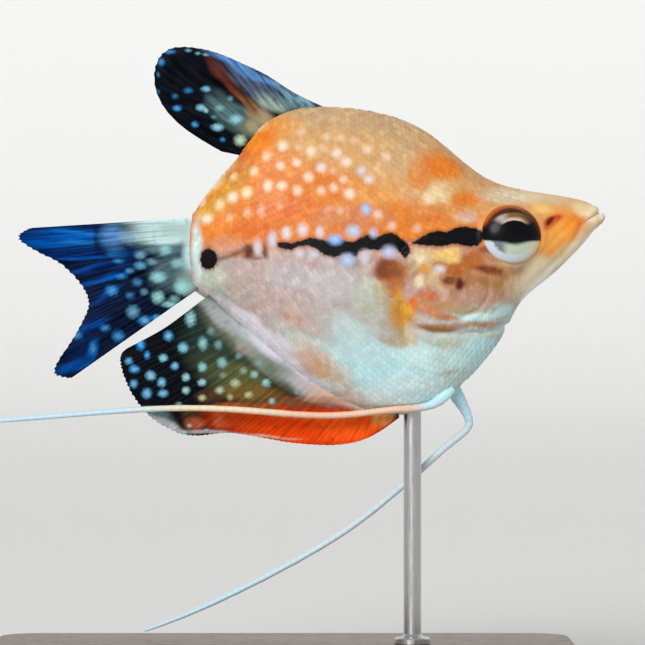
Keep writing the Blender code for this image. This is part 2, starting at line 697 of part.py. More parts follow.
def rounded_outline(length, width, corner):
    """A rectangle about the origin with round corners, as x and y."""
    points = []
    for quarter, (sx, sy) in enumerate(((1, 1), (-1, 1), (-1, -1), (1, -1))):
        arc = np.linspace(0, QUARTER_TURN, CORNER_STEPS) + quarter * QUARTER_TURN
        x = sx * (length / 2 - corner) + corner * np.cos(arc)
        y = sy * (width / 2 - corner) + corner * np.sin(arc)
        points.append(np.column_stack([x, y]))
    return np.concatenate(points)


def build_stand(finishes):
    """A flat base with rounded corners and an eased top edge, and the rod let into it."""
    levels = ((0.0, 0.0), (0.0, BASE_HEIGHT - BASE_BEVEL), (BASE_BEVEL, BASE_HEIGHT))
    rings = []
    for inset, z in levels:
        flat = rounded_outline(BASE_LENGTH - 2 * inset, BASE_WIDTH - 2 * inset, BASE_CORNER - inset)
        rings.append(np.column_stack([flat, np.full(len(flat), z)]))
    base = boolean(lofted("base", rings), rod("socket", GAP), "DIFFERENCE")
    finish(base, "stand_base", finishes["wood"])
    finish(rod("rod"), "stand_rod", finishes["steel"])


def main():
    for old in list(bpy.data.objects):
        bpy.data.objects.remove(old)
    finishes = {
        "skin": material("skin", (0.86, 0.42, 0.17), 0.35),
        "fin": material("fin", (0.05, 0.12, 0.24), 0.4),
        "eye": material("eye", (0.03, 0.025, 0.02), 0.08),
        "feeler": material("feeler", (0.75, 0.8, 0.85), 0.4),
        "wood": material("wood", (0.16, 0.08, 0.04), 0.45),
        "steel": material("steel", (0.6, 0.6, 0.6), 0.3, 1.0),
    }
    body = lofted("body", *body_rings())
    grown = lofted("grown", *body_rings(GAP + ROOT_SPARE))
    build_body(body, finishes)
    build_fins(grown, finishes)
    build_feelers(grown, finishes)
    build_stand(finishes)
    for whole in (body, grown):
        bpy.data.objects.remove(whole)


main()
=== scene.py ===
"""The looks of a short-bodied pearl gourami on its stand: skin, scales, eyes, fins and feelers.

Sizes are millimetres in the model's own frame and become metres when a mesh is made. The snout points along
+X and the right flank faces -Y, towards the camera.
"""

import math

import bpy
import numpy as np
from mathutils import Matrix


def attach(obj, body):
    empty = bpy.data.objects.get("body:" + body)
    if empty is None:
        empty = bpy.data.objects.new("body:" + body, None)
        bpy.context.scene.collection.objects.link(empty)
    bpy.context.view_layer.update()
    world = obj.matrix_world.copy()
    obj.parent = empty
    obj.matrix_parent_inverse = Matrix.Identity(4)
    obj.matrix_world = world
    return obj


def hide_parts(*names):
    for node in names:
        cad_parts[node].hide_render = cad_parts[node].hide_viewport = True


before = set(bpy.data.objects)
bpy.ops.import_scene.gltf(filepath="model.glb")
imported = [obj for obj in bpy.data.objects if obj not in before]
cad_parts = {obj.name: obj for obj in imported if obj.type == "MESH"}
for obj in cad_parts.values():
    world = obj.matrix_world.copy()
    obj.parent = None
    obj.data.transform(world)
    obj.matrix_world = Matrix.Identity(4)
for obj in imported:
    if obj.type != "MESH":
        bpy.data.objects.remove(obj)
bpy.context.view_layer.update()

MM = 0.001
QUARTER_TURN = math.pi / 2
FULL_TURN = 2 * math.pi
SIDES = ((-1, "right"), (1, "left"))
SEED = 41

# The body's sections, snout to tail root: the top edge's x and z, the bottom edge's x and z, the half width.
SECTIONS = (
    (42.9, 65.85, 42.9, 64.0, 1.0),  # front of the lips
    (41.8, 67.0, 41.6, 62.3, 2.0),  # corner of the mouth
    (39.4, 67.75, 39.2, 59.6, 3.0),  # jaw
    (35.6, 68.4, 35.6, 56.3, 4.1),  # nostril
    (31.4, 69.1, 32.2, 53.2, 5.3),  # eye
    (27.0, 70.8, 29.7, 48.6, 6.4),  # back of the skull
    (22.6, 74.3, 25.5, 43.4, 7.3),  # nape
    (18.4, 77.4, 20.8, 39.6, 7.9),  # shoulder
    (13.2, 79.3, 15.2, 38.0, 8.0),  # breast
    (7.4, 80.1, 9.4, 39.3, 7.6),  # vent
    (1.6, 79.8, 3.0, 42.8, 6.6),  # front of the dorsal fin
    (-3.0, 77.5, -2.2, 46.9, 5.4),  # middle of the dorsal fin
    (-6.0, 73.5, -6.6, 50.6, 4.2),  # back of the dorsal fin
    (-9.2, 69.8, -9.8, 53.4, 3.1),  # narrowing to the tail
    (-12.0, 65.8, -11.7, 54.7, 2.1),  # tail root
)
SNOUT_DOME = 0.6
TAIL_DOME = 1.0
# How high the widest level sits in a section, and how sharply its top and bottom edges close, snout to tail.
WIDEST = (0.0, 0.16, 0.1, -0.12, -0.16, -0.05, 0.0)
TOP_EDGE = (1.0, 0.92, 1.0, 1.08, 1.12, 1.1, 1.0)
BOTTOM_EDGE = (1.0, 1.1, 1.12, 1.05, 1.3, 1.35, 1.1)
HALVINGS = 26
SLOPE_REACH = 2.0

# How far the skin lies inside the solids, so that the scales on it end where the solids do.
SCALE_DEPTH = 0.12
HEAD_SHARE = 0.42
HEAD_ROWS = 150
BODY_ROWS = 150
DOME_ROWS = 8
DOME_TURN = (84, 8)  # degrees from a dome's rim that its first and last rings lie at
SIDE_COLUMNS = 128
SKIN_TIP = 0.02

EYE = (31.0, 62.6)
EYE_SIZE = (4.4, 4.1)
EYE_DEPTH = 2.6
EYE_STANDS_OUT = 1.25
EYE_GRID = (40, 72)
ORBIT_SWELL = 0.6
ORBIT_REACH = 5.2
# The skin's dip under the eye and its rim: how much, and then where and how wide, in the eye's half sizes.
ORBIT_DIP = (1.0, 0.9, 0.12)
ORBIT_RIM = (0.16, 0.99, 0.07)
NOSTRIL = (36.3, 64.4)
NOSTRIL_SIZE = (0.75, 0.34)
NOSTRIL_SLANT = 42.0
# The nostril's pit and its rim: how much, and then where, and the rim's width, in the nostril's half sizes.
NOSTRIL_DEPTH = (0.55, 1.2)
NOSTRIL_RIM = (0.16, 1.35, 0.45)
MOUTH_FRONT = (44.6, 66.75)
MOUTH_CORNER = (41.2, 64.5)
MOUTH_DEPTH = 0.34
MOUTH_WIDTH = 0.14
# The upper and lower lip: height of its middle above the mouth's line, how far it stands out, its width.
LIPS = ((0.6, 0.3, 0.45), (-0.75, 0.42, 0.7))
LIP_START = 0.9

GILL_COVER = (
    (17.3, 53.0), (16.3, 56.4), (15.9, 59.4), (17.8, 61.4), (21.6, 61.7), (25.2, 60.0), (27.1, 56.0),
    (26.8, 51.8), (22.4, 49.8), (18.2, 50.1),
)
GILL_RISE = 0.35
GILL_EDGE = 0.4
# The groove behind the gill cover: its depth, how far behind the edge it lies and its width.
GILL_GROOVE = (0.28, 0.38, 0.3)
GILL_MIDDLE = 21.0
GILL_LIFT_LENGTH = 12.0
GILL_STEPS = 180
CREASE_STEPS = 40
# Creases of the head as x and z, then how deep and how wide each is.
CREASES = (
    (((25.4, 60.9), (27.3, 58.6), (27.9, 55.6), (26.9, 52.9), (24.2, 51.4)), 0.22, 0.32),  # front gill bone
    (((16.9, 51.2), (19.5, 49.7), (24.0, 49.3), (29.5, 49.8), (33.0, 51.9)), 0.34, 0.3),  # gill opening
    (((40.6, 64.0), (39.4, 61.8), (36.6, 58.7), (33.4, 55.8)), 0.14, 0.4),  # lower jaw
    (((40.4, 65.6), (38.4, 63.6), (36.2, 61.3)), 0.1, 0.35),  # upper jaw
)
# The head's back edge, and the level under which the breast's scales start.
HEAD_EDGE = ((18.4, 50.9), (16.6, 56.0), (17.4, 64.0), (20.4, 74.0), (22.5, 80.0))
HEAD_FLOOR = 50.7

# Scales: how far apart their columns and rows lie on the body, and the head's smaller share of that.
SCALE_COLUMN = 0.66
SCALE_ROW = 1.06
HEAD_SCALES = 0.72
SCALE_LENGTH = 1.2
SCALE_WIDTH = 0.6
SCALE_FRONT = -0.07
SCALE_REAR = 0.1
SCALE_THICKNESS = 0.03
SCALE_DOME = 0.03
SCALE_STEPS = 5
# How far each scale strays along and across its row, as shares of the spacing, and in how far it lifts.
SCALE_STRAY = (0.08, 0.05, 0.2)
SCALE_LEVELS = 200  # more than go up or down one flank
SCALE_MARGIN = 0.25
# How a scale's width closes towards its rear edge, and how narrow its hidden front is.
SCALE_CLOSE = 0.82
SCALE_NECK = 0.14
# Where no scales grow: on the snout, this near the eye in its half sizes, this far from the gill cover's rim,
# and where the creases of these widths reach this.
SNOUT_BARE = 32.5
EYE_BARE = 1.14
RIM_BARE = (0.2, 0.45, 24.0)
CREASES_BARE = (0.45, 0.6, 0.4)
# The scales' map: each scale's patch, and the part of the map that they take up.
UV_PATCH = 0.003
UV_START = 0.01
UV_SPAN = 0.98

# Paints as a screen shows them, from 0 to 255.
PAINTS = {
    "pale sand": (218, 200, 168), "sandy peach": (202, 168, 126), "tan peach": (213, 165, 110),
    "light orange": (227, 157, 84), "orange": (227, 129, 46), "deep orange": (237, 131, 34),
    "red orange": (221, 108, 42), "warm orange": (254, 170, 72), "salmon": (211, 136, 94),
    "dusty salmon": (204, 148, 120), "ochre": (214, 154, 60), "amber": (220, 156, 46),
    "gold": (240, 199, 116), "cream": (231, 208, 160), "pale cream": (238, 222, 188),
    "blush": (216, 182, 160), "rust": (182, 98, 40), "chestnut": (134, 70, 34), "mahogany": (92, 36, 22),
    "tan": (192, 142, 94), "clay": (186, 126, 80), "rose": (190, 144, 118), "sand": (214, 188, 146),
    "khaki": (180, 162, 122), "brown line": (162, 112, 66), "taupe": (176, 166, 160),
    "silver": (194, 190, 195), "rosy silver": (190, 170, 165), "lilac": (226, 223, 236),
    "green silver": (192, 204, 184), "mint": (202, 234, 232), "pale mint": (210, 247, 244),
    # aqua is paler than the belly's own colour: painted light for the downward-facing underside.
    "aqua": (194, 243, 249), "ice": (156, 194, 214), "pale ice": (194, 230, 244), "peach": (236, 190, 158),
    "white": (250, 250, 252), "pearl": (243, 218, 192), "pearl blue": (140, 182, 238),
    "pearl gold": (240, 214, 146), "fin pearl": (134, 194, 194), "fin pearl blue": (0, 138, 212),
    "fin pearl olive": (186, 176, 104), "black": (10, 8, 11), "ink": (12, 15, 21), "midnight": (9, 20, 44),
    "navy": (4, 36, 92), "royal blue": (0, 82, 168), "bright blue": (34, 118, 190),
    "lavender": (84, 132, 186), "steel blue": (124, 160, 182), "slate": (82, 94, 114),
    "teal grey": (96, 126, 128), "pine": (44, 60, 54), "dark olive": (64, 72, 50), "olive": (92, 94, 54),
    "olive grey": (108, 116, 94), "mint grey": (148, 166, 154), "bronze": (120, 92, 46),
    "umber": (80, 56, 38), "maroon": (94, 44, 32), "copper": (132, 84, 52), "brick": (192, 62, 22),
    "red": (234, 68, 14), "flame": (250, 90, 24), "terracotta": (206, 104, 66),
}

# Soft patches of paint on the body, laid in this order: paint, middle x and z, half length, half height, how
# strong, and the tilt in degrees of those that have one.
BODY_PATCHES = (
    # back
    # The sandy peach along the top of the back is painted light from above.
    ("sandy peach", 9.5, 78.4, 12.5, 2.8, 1, -4), ("sandy peach", 14.6, 75, 6.5, 3.4, 0.85, -25),
    ("tan peach", 9, 73.9, 7.5, 3.4, 0.7, -8), ("light orange", -0.6, 77.4, 3.8, 1.6, 0.9, -5),
    ("deep orange", -3.4, 74.8, 3.4, 2.4, 1, 30), ("red orange", -5.4, 73.4, 1.3, 1, 0.8, 40),
    ("orange", -2, 71.2, 5, 3, 0.85, 20), ("orange", 4.6, 69.2, 5.6, 3, 0.8),
    ("red orange", 1.2, 66, 5, 2, 0.6), ("salmon", 8, 65, 4.6, 1.8, 0.8),
    ("light orange", 12.6, 68.8, 4, 2.8, 0.85), ("salmon", 13.4, 65, 2.4, 1.4, 0.6),
    ("orange", 16.2, 66, 1.9, 1.6, 0.85),
    # rump and tail stalk
    # The thin cream line along the rump's top edge is painted light from above.
    ("ochre", -7.6, 68.4, 4, 1.8, 0.9, 50), ("cream", -8.6, 70.5, 4.6, 0.7, 0.75, 49),
    ("ochre", -10.6, 65.8, 1.6, 1.6, 0.9), ("orange", -8, 63.8, 2.8, 1.4, 0.9),
    ("red orange", -4.2, 63.2, 3.2, 1.5, 0.8), ("salmon", -7.8, 61.6, 3.2, 1.1, 0.9),
    ("dusty salmon", -8.4, 60.2, 2.8, 0.8, 0.8), ("salmon", -2.6, 61.6, 2.2, 1, 0.8),
    ("clay", -5.8, 71.4, 2.2, 1.5, 0.35, 45), ("red orange", -1, 65.4, 2.8, 2, 0.5),
    ("clay", -5.6, 60, 2, 0.7, 0.8), ("mahogany", -4.6, 60.3, 0.75, 1.1, 0.95),
    ("mahogany", -2.2, 60.3, 0.55, 1.2, 0.9), ("mahogany", -3.4, 59.4, 1.1, 0.4, 0.7),
    ("green silver", -9.4, 57, 2.2, 1.6, 0.9), ("mint grey", -8.6, 54.2, 2.4, 1.4, 0.9, -40),
    ("mint", -11.6, 60.5, 1, 4.6, 0.95),
    # flank
    ("rosy silver", -4.6, 57.2, 3.4, 1.8, 0.7), ("taupe", -5.6, 54.4, 2.8, 1.8, 0.7, -35),
    ("silver", 1.5, 56.8, 4.2, 2, 0.8), ("rosy silver", -0.4, 53.2, 3.6, 1.2, 0.7, -20),
    ("silver", 7, 55.6, 5.2, 3, 0.8), ("rosy silver", 3, 50.4, 4.4, 1.6, 0.7, -30),
    ("green silver", 12, 54, 3.2, 3.2, 0.85), ("khaki", 13.8, 54.6, 1.9, 2.4, 0.8),
    ("khaki", 14.4, 49.4, 2.6, 1.6, 0.45, -20), ("dusty salmon", 13.4, 59.4, 2, 0.9, 0.6),
    ("slate", 9.6, 59.2, 2.6, 0.7, 0.4), ("lilac", -3, 49.8, 7.6, 0.9, 1, -38),
    ("silver", -8.6, 53.4, 2.6, 0.9, 0.9, -40), ("rosy silver", -4.6, 52.8, 4.4, 0.7, 0.8, -38),
    ("dusty salmon", 1.4, 51.4, 2, 0.8, 0.5, -20), ("mint grey", -5.6, 49.9, 4.8, 0.5, 0.8, -40),
    ("lilac", -0.2, 46.2, 8.6, 1, 1, -38), ("blush", 3.4, 44.8, 3.6, 0.8, 0.6, -36),
    ("blush", 5.8, 44.8, 5.6, 1.8, 0.95, -33), ("tan peach", 7.2, 43.6, 4, 0.9, 0.7, -30),
    ("blush", 11, 40.6, 5, 1.1, 0.9, -10), ("aqua", 12.2, 46.2, 6.4, 3.4, 0.85, -25),
    ("mint", 9, 50.2, 3.2, 2, 0.7, -35), ("rust", 14.6, 57.4, 2.4, 2.1, 0.95),
    ("chestnut", 14.3, 57.6, 2.1, 1.7, 1), ("mahogany", 14, 57.8, 1.8, 1.2, 0.25),
    ("rust", 15.3, 55.4, 1.4, 1.4, 0.85),
    # breast
    ("pale mint", 18.6, 46.8, 2.8, 1.4, 0.9), ("green silver", 23.4, 48, 3.8, 0.9, 0.8),
    ("mint", 23.2, 45.6, 4.2, 1.6, 0.85, 25), ("khaki", 21.8, 43.5, 1, 0.5, 0.6),
    ("aqua", 17, 43.2, 4.8, 1.8, 0.8), ("aqua", 20.2, 40.8, 3.6, 1.2, 0.9, 20),
    # The wide pale mint, aqua and white patches low on the belly are painted light that keeps the
    # downward-facing underside light.
    ("aqua", 26.8, 47.2, 4.2, 2.2, 0.9, 40), ("pale mint", 16.6, 41.2, 6.4, 1.9, 0.6, 4),
    ("pale mint", 24.4, 45.4, 4.4, 1.6, 0.5, 32), ("aqua", 14, 42.6, 8, 3.2, 0.6, -14),
    ("white", 17.6, 41.6, 7.5, 2.2, 0.3, 4), ("mint", 31.2, 50.8, 2.6, 1.6, 0.8, 50),
    ("khaki", 22.6, 43.9, 1.6, 0.4, 0.5),
    # nape and forehead
    ("orange", 21.5, 71.7, 3.4, 2.2, 1, -25), ("deep orange", 22, 71.5, 2.6, 1.6, 0.4, -25),
    ("orange", 18.4, 70.2, 2.4, 2.2, 0.6), ("sand", 14.2, 70.8, 3, 2.4, 0.35, -20),
    ("sand", 16.9, 67.8, 2, 1.6, 0.35), ("cream", 20.8, 68.2, 2.4, 1.4, 0.9),
    ("orange", 25, 67.5, 2.4, 1.2, 1), ("blush", 25, 65, 1.7, 1, 0.9),
    # The pale sand and sand along the top of the forehead and snout are painted light from above.
    ("red orange", 20.2, 64.6, 1, 0.8, 0.7), ("pale sand", 31.2, 67.8, 5.4, 1.1, 1, -4),
    ("sand", 36.4, 67.2, 3, 0.9, 0.8, -5),
    # snout
    ("light orange", 37, 65.7, 3.8, 1, 0.9, -6), ("gold", 35, 66, 1.8, 0.8, 0.7, -10),
    ("orange", 38.6, 63.2, 3.8, 2.6, 0.95, 20), ("deep orange", 38.8, 63.4, 2.6, 1.4, 0.7, 25),
    ("light orange", 36, 60.8, 2.8, 1.9, 0.95, 45), ("warm orange", 37.2, 61.9, 3, 2.2, 0.95, 45),
    ("light orange", 36, 60.2, 3.4, 2.2, 0.45, 45), ("cream", 38, 59.9, 4.6, 1, 0.7, 44),
    ("cream", 41, 65.9, 2, 1.1, 0.85, -20), ("light orange", 41.2, 65, 1.2, 0.35, 0.6, 35),
    # The first pale cream patch here, a thin line along the jaw's lower outline, is a painted highlight.
    ("pale cream", 39, 60.2, 6.4, 0.55, 1, 45), ("pale cream", 34.4, 57.4, 2.6, 1, 0.9, 42),
    ("red orange", 36.9, 64.8, 0.8, 0.5, 0.6, 35), ("brick", 36.5, 64.3, 1.4, 0.55, 0.9, 30),
    ("mahogany", 36.1, 64.2, 0.8, 0.35, 0.6, 42), ("pale cream", 42.2, 65.2, 1.4, 1.5, 0.85),
    ("pale cream", 41.8, 62.2, 1.8, 2.2, 0.7), ("white", 43.6, 65.6, 0.9, 1.6, 0.5),
    ("ice", 44.5, 65.2, 0.6, 1.4, 0.35),
    # cheek
    ("clay", 23.2, 57.4, 8, 3.4, 0.95), ("tan", 29.8, 56.6, 3.4, 2.6, 0.9, 30),
    ("rose", 27.6, 54.3, 4.2, 1.4, 0.85, 8), ("tan", 20.6, 53.2, 4.4, 1.6, 0.9),
    ("rust", 25.4, 59.2, 2.2, 1.5, 0.9), ("chestnut", 27.6, 60.4, 1.6, 0.8, 0.8),
    ("clay", 28.4, 59.2, 1.4, 0.6, 0.8, -30), ("chestnut", 27.9, 57.7, 2.6, 0.8, 0.95, -14),
    ("mahogany", 26.3, 58.1, 1, 0.4, 0.6, -14), ("clay", 30.9, 57.2, 2, 0.8, 0.8, 10),
    ("sand", 31.6, 58.8, 3, 0.5, 0.9, 2), ("cream", 34.3, 58.7, 1.6, 1, 0.8, 38),
    ("brown line", 27.8, 56.1, 2.4, 0.5, 0.6, -6), ("sand", 31.2, 55.6, 1.8, 1.4, 0.8, 45),
    ("pale cream", 33, 56, 3.4, 1.5, 0.9, 50), ("white", 34.2, 55.4, 3.6, 0.6, 0.8, 50),
    ("khaki", 24.2, 52.6, 3.2, 0.6, 0.85, 2), ("green silver", 28.8, 52.8, 1.6, 0.6, 0.8, 25),
    ("pale mint", 26.4, 51.5, 3.4, 0.7, 1, 7), ("pale mint", 29.8, 52.3, 1.6, 0.8, 0.9, 25),
    ("brown line", 20.8, 49.9, 3.6, 0.7, 1), ("brown line", 26.6, 50.3, 3, 0.4, 0.8, 4),
    ("green silver", 28.2, 49.3, 2.2, 0.5, 0.9, 10),
    # gill cover
    ("gold", 22.5, 59.9, 1.7, 1.2, 1), ("gold", 20.7, 59.8, 1.2, 1, 0.9),
    ("cream", 18.6, 59.4, 1.7, 1.6, 0.85), ("khaki", 17.3, 58.4, 0.9, 1.4, 0.6),
    ("ochre", 18.9, 57.9, 0.9, 0.8, 0.9), ("pale cream", 18.5, 59.4, 0.7, 0.7, 0.8),
    ("sand", 20.4, 56.6, 1.2, 1.6, 0.85), ("pale cream", 18.4, 56.2, 0.9, 1.1, 0.95),
    ("rust", 23.4, 57.6, 1.4, 1.3, 0.9), ("maroon", 22.4, 56.2, 1.1, 0.45, 0.8),
    ("mahogany", 23.9, 55.8, 0.75, 0.75, 1), ("blush", 21.4, 54.6, 0.9, 1, 0.8),
    ("terracotta", 19.4, 54.3, 1.6, 0.7, 0.8), ("red orange", 17.4, 53.2, 0.9, 1.4, 0.95),
    ("salmon", 19.8, 52.4, 2, 0.6, 0.85, -22), ("clay", 21.8, 51.4, 2.2, 0.5, 0.85, -8),
    ("blush", 18.6, 51, 1.2, 0.6, 0.8),
    # root of the pectoral fin
    ("ochre", 15.8, 54.4, 0.9, 1.2, 0.9), ("amber", 15.7, 52, 1.7, 2.7, 1),
    ("khaki", 15.6, 48.4, 1.4, 1.1, 0.7), ("khaki", 14, 48.6, 1.8, 0.6, 0.8, -15),
    ("sand", 17, 48.6, 1.5, 1.1, 0.6), ("ochre", 16.8, 51.6, 1.3, 1.8, 0.6),
)
TAIL_PATCHES = (
    ("royal blue", -29.5, 62.2, 8, 1.5, 0.95, 1), ("navy", -28.5, 60.2, 7, 1, 0.95),
    ("bright blue", -27.4, 63, 4, 0.3, 0.5), ("bright blue", -27, 61.6, 3.6, 0.35, 0.6),
    ("royal blue", -27, 59.6, 4, 0.3, 0.8, 2), ("midnight", -25.2, 62, 0.5, 2.2, 0.8),
    ("royal blue", -24.9, 58.4, 4.4, 0.35, 0.8, 12), ("royal blue", -24.6, 56.6, 3.9, 0.4, 0.8, 18),
    ("royal blue", -24.2, 54.4, 2.8, 0.5, 0.7, 34), ("royal blue", -26, 50.2, 2.4, 0.5, 0.8, 28),
    ("royal blue", -25.8, 47, 1.8, 0.6, 0.7, 66), ("lavender", -23.2, 62.4, 1.9, 1.8, 0.95),
    ("bright blue", -22.6, 60.2, 1.6, 0.6, 0.6), ("steel blue", -20.8, 62.3, 1.8, 1.2, 0.95),
    ("mint", -14.6, 64.2, 6.6, 2, 1, -1), ("mint", -16, 62.4, 4.2, 1.4, 0.95),
    ("mint grey", -14.4, 63.2, 3.4, 1.2, 0.5), ("teal grey", -16.4, 60.6, 3.6, 0.9, 0.8),
    ("navy", -20.6, 60.2, 2.4, 0.7, 0.7), ("mint", -12.4, 59.8, 1.4, 3.4, 0.95),
    ("mint grey", -12.9, 56.2, 1.8, 1.8, 0.9, 20), ("teal grey", -15.4, 57.6, 3, 2.6, 0.6, 20),
    ("navy", -22.6, 58.6, 2.8, 0.9, 0.8, 6), ("navy", -25.6, 58, 2.6, 0.7, 0.7, 10),
    ("navy", -24.2, 54.2, 2.6, 1.4, 0.3, 25), ("navy", -25.5, 50.8, 2.2, 1.6, 0.3, 45),
    ("navy", -27.6, 47.6, 2.6, 2.4, 0.4, 50), ("royal blue", -28.4, 44.7, 2.4, 1, 0.7, 25),
)
ANAL_PATCHES = (
    ("red", 4.4, 36.4, 12.5, 3, 1, -2), ("pine", -8.4, 46.8, 6.6, 4.4, 0.9, -40),
    ("dark olive", -7.6, 43.6, 5.6, 2.8, 0.95, -30), ("olive grey", -4.4, 48, 10.5, 2.3, 1, -39),
    ("mint grey", -4.6, 48.6, 10, 1.3, 0.95, -39), ("silver", -8.4, 51.2, 3.4, 1, 0.6, -39),
    ("lilac", 0.2, 45.2, 8.8, 0.9, 0.95, -38), ("rosy silver", -5, 47.2, 1.6, 0.9, 0.5, -39),
    ("mint grey", -2.4, 44.9, 2.8, 1, 0.5, -38), ("olive", -5.6, 43.2, 4, 1.9, 0.9, -15),
    ("bronze", -4.4, 41.2, 5.2, 1.3, 0.95, -4), ("umber", -9.8, 40.8, 2.4, 0.9, 0.8),
    ("olive grey", 0.6, 43.2, 4.2, 1.5, 0.9, -38), ("silver", 3.2, 41.8, 4.6, 1.2, 0.9, -34),
    ("blush", 7.4, 40.4, 5, 1.1, 0.95, -18), ("blush", 11.8, 38.8, 3, 0.7, 0.6, -8),
    ("copper", 2, 39.9, 6.4, 0.8, 0.8), ("dusty salmon", 5.6, 40.2, 3.6, 0.6, 0.7, -6),
    ("rust", -6, 39.2, 5.6, 0.8, 0.8), ("brick", -6.4, 37.7, 5.6, 1.8, 1, -2),
    ("red", 3.2, 36.6, 9.6, 2.2, 0.9, -2), ("flame", 9.8, 36.4, 6, 2.2, 0.9, -4),
    ("light orange", 13.8, 38, 2, 1.2, 0.8, 40), ("teal grey", -17, 38, 2.6, 1, 0.8, -25),
    ("silver", -16, 37, 3.2, 0.6, 0.95, -25), ("umber", -12.6, 37.9, 1.4, 1, 0.9),
    ("terracotta", -12, 37, 1.4, 0.7, 0.8), ("terracotta", -8.6, 37.4, 0.8, 0.9, 0.7),
    ("rosy silver", -9.6, 35.9, 4.6, 0.35, 0.9, -3), ("blush", -2.6, 35.3, 5, 0.25, 0.7, -3),
)
DORSAL_PATCHES = (
    ("teal grey", -8.2, 79.8, 2.8, 1.9, 0.55, -50), ("teal grey", -6.2, 78.4, 2.4, 1.6, 0.6, -45),
    ("slate", -3.4, 82.6, 6.2, 1.2, 0.9, -30), ("lavender", -4.2, 84.6, 7.6, 0.75, 0.95, -27),
    ("steel blue", 1.6, 81.6, 3.6, 0.8, 0.95, -30), ("teal grey", 1.6, 80.6, 2.6, 0.9, 0.9, -25),
    ("mint grey", -1.5, 80.4, 2.8, 1.1, 0.95, -22), ("khaki", -3.2, 78.7, 2.6, 1.3, 0.8, -40),
    ("maroon", -7.6, 83.6, 4.8, 0.85, 0.85, -48), ("copper", -4.6, 80.4, 2.4, 0.9, 0.8, -47),
    ("olive grey", -4.6, 77.6, 1.8, 1.4, 0.9, -45), ("khaki", -4, 77.4, 1.2, 0.8, 0.6, -45),
)

# The dark stripe's two lengths, back to front: x, upper edge, lower edge.
REAR_STRIPE = (
    (-0.9, 61.4, 61), (0.1, 61.5, 60.7), (1, 61.4, 60.5), (1.8, 61.6, 61), (2.9, 61.9, 61.1),
    (3.7, 62.1, 61), (4.5, 62, 60.6), (5.3, 61.8, 60), (6.1, 61.5, 59.6), (6.9, 61.6, 59.5),
    (7.8, 61.9, 59.9), (8.8, 61.5, 60), (9.7, 61.6, 59.6), (10.2, 62, 60.3), (11.3, 62.5, 60.6),
    (12.1, 62.2, 60.6), (12.9, 62.3, 60.5), (13.5, 62.6, 60.5), (14.3, 62.8, 60.7), (15.1, 62.5, 60.7),
    (15.6, 62.1, 60.3), (16.2, 61.6, 59.4), (16.6, 61.3, 59.6), (16.9, 60.8, 60.2),
)
FRONT_STRIPE = (
    (17.3, 61.5, 61.4), (18.1, 61.9, 61.2), (18.6, 62.3, 61.1), (19.3, 62.6, 61.1), (20, 62.9, 61.1),
    (20.8, 63, 61), (21.9, 62.8, 61.1), (22.7, 63.2, 61.3), (23.5, 63.5, 61.3), (24.3, 63.6, 61.1),
    (25.2, 63.4, 61), (26, 63.3, 61.1), (26.5, 63, 61.5), (26.8, 62.6, 62),
)
# The black spot on the tail stalk: its middle, and its half length and half height.
TAIL_SPOT = ((-10.2, 59.3), (1.15, 1.35))
RED_LINE = ((-9.2, 59.3), (-7.4, 59.6), (-5.8, 60.3), (-4.8, 61.0))

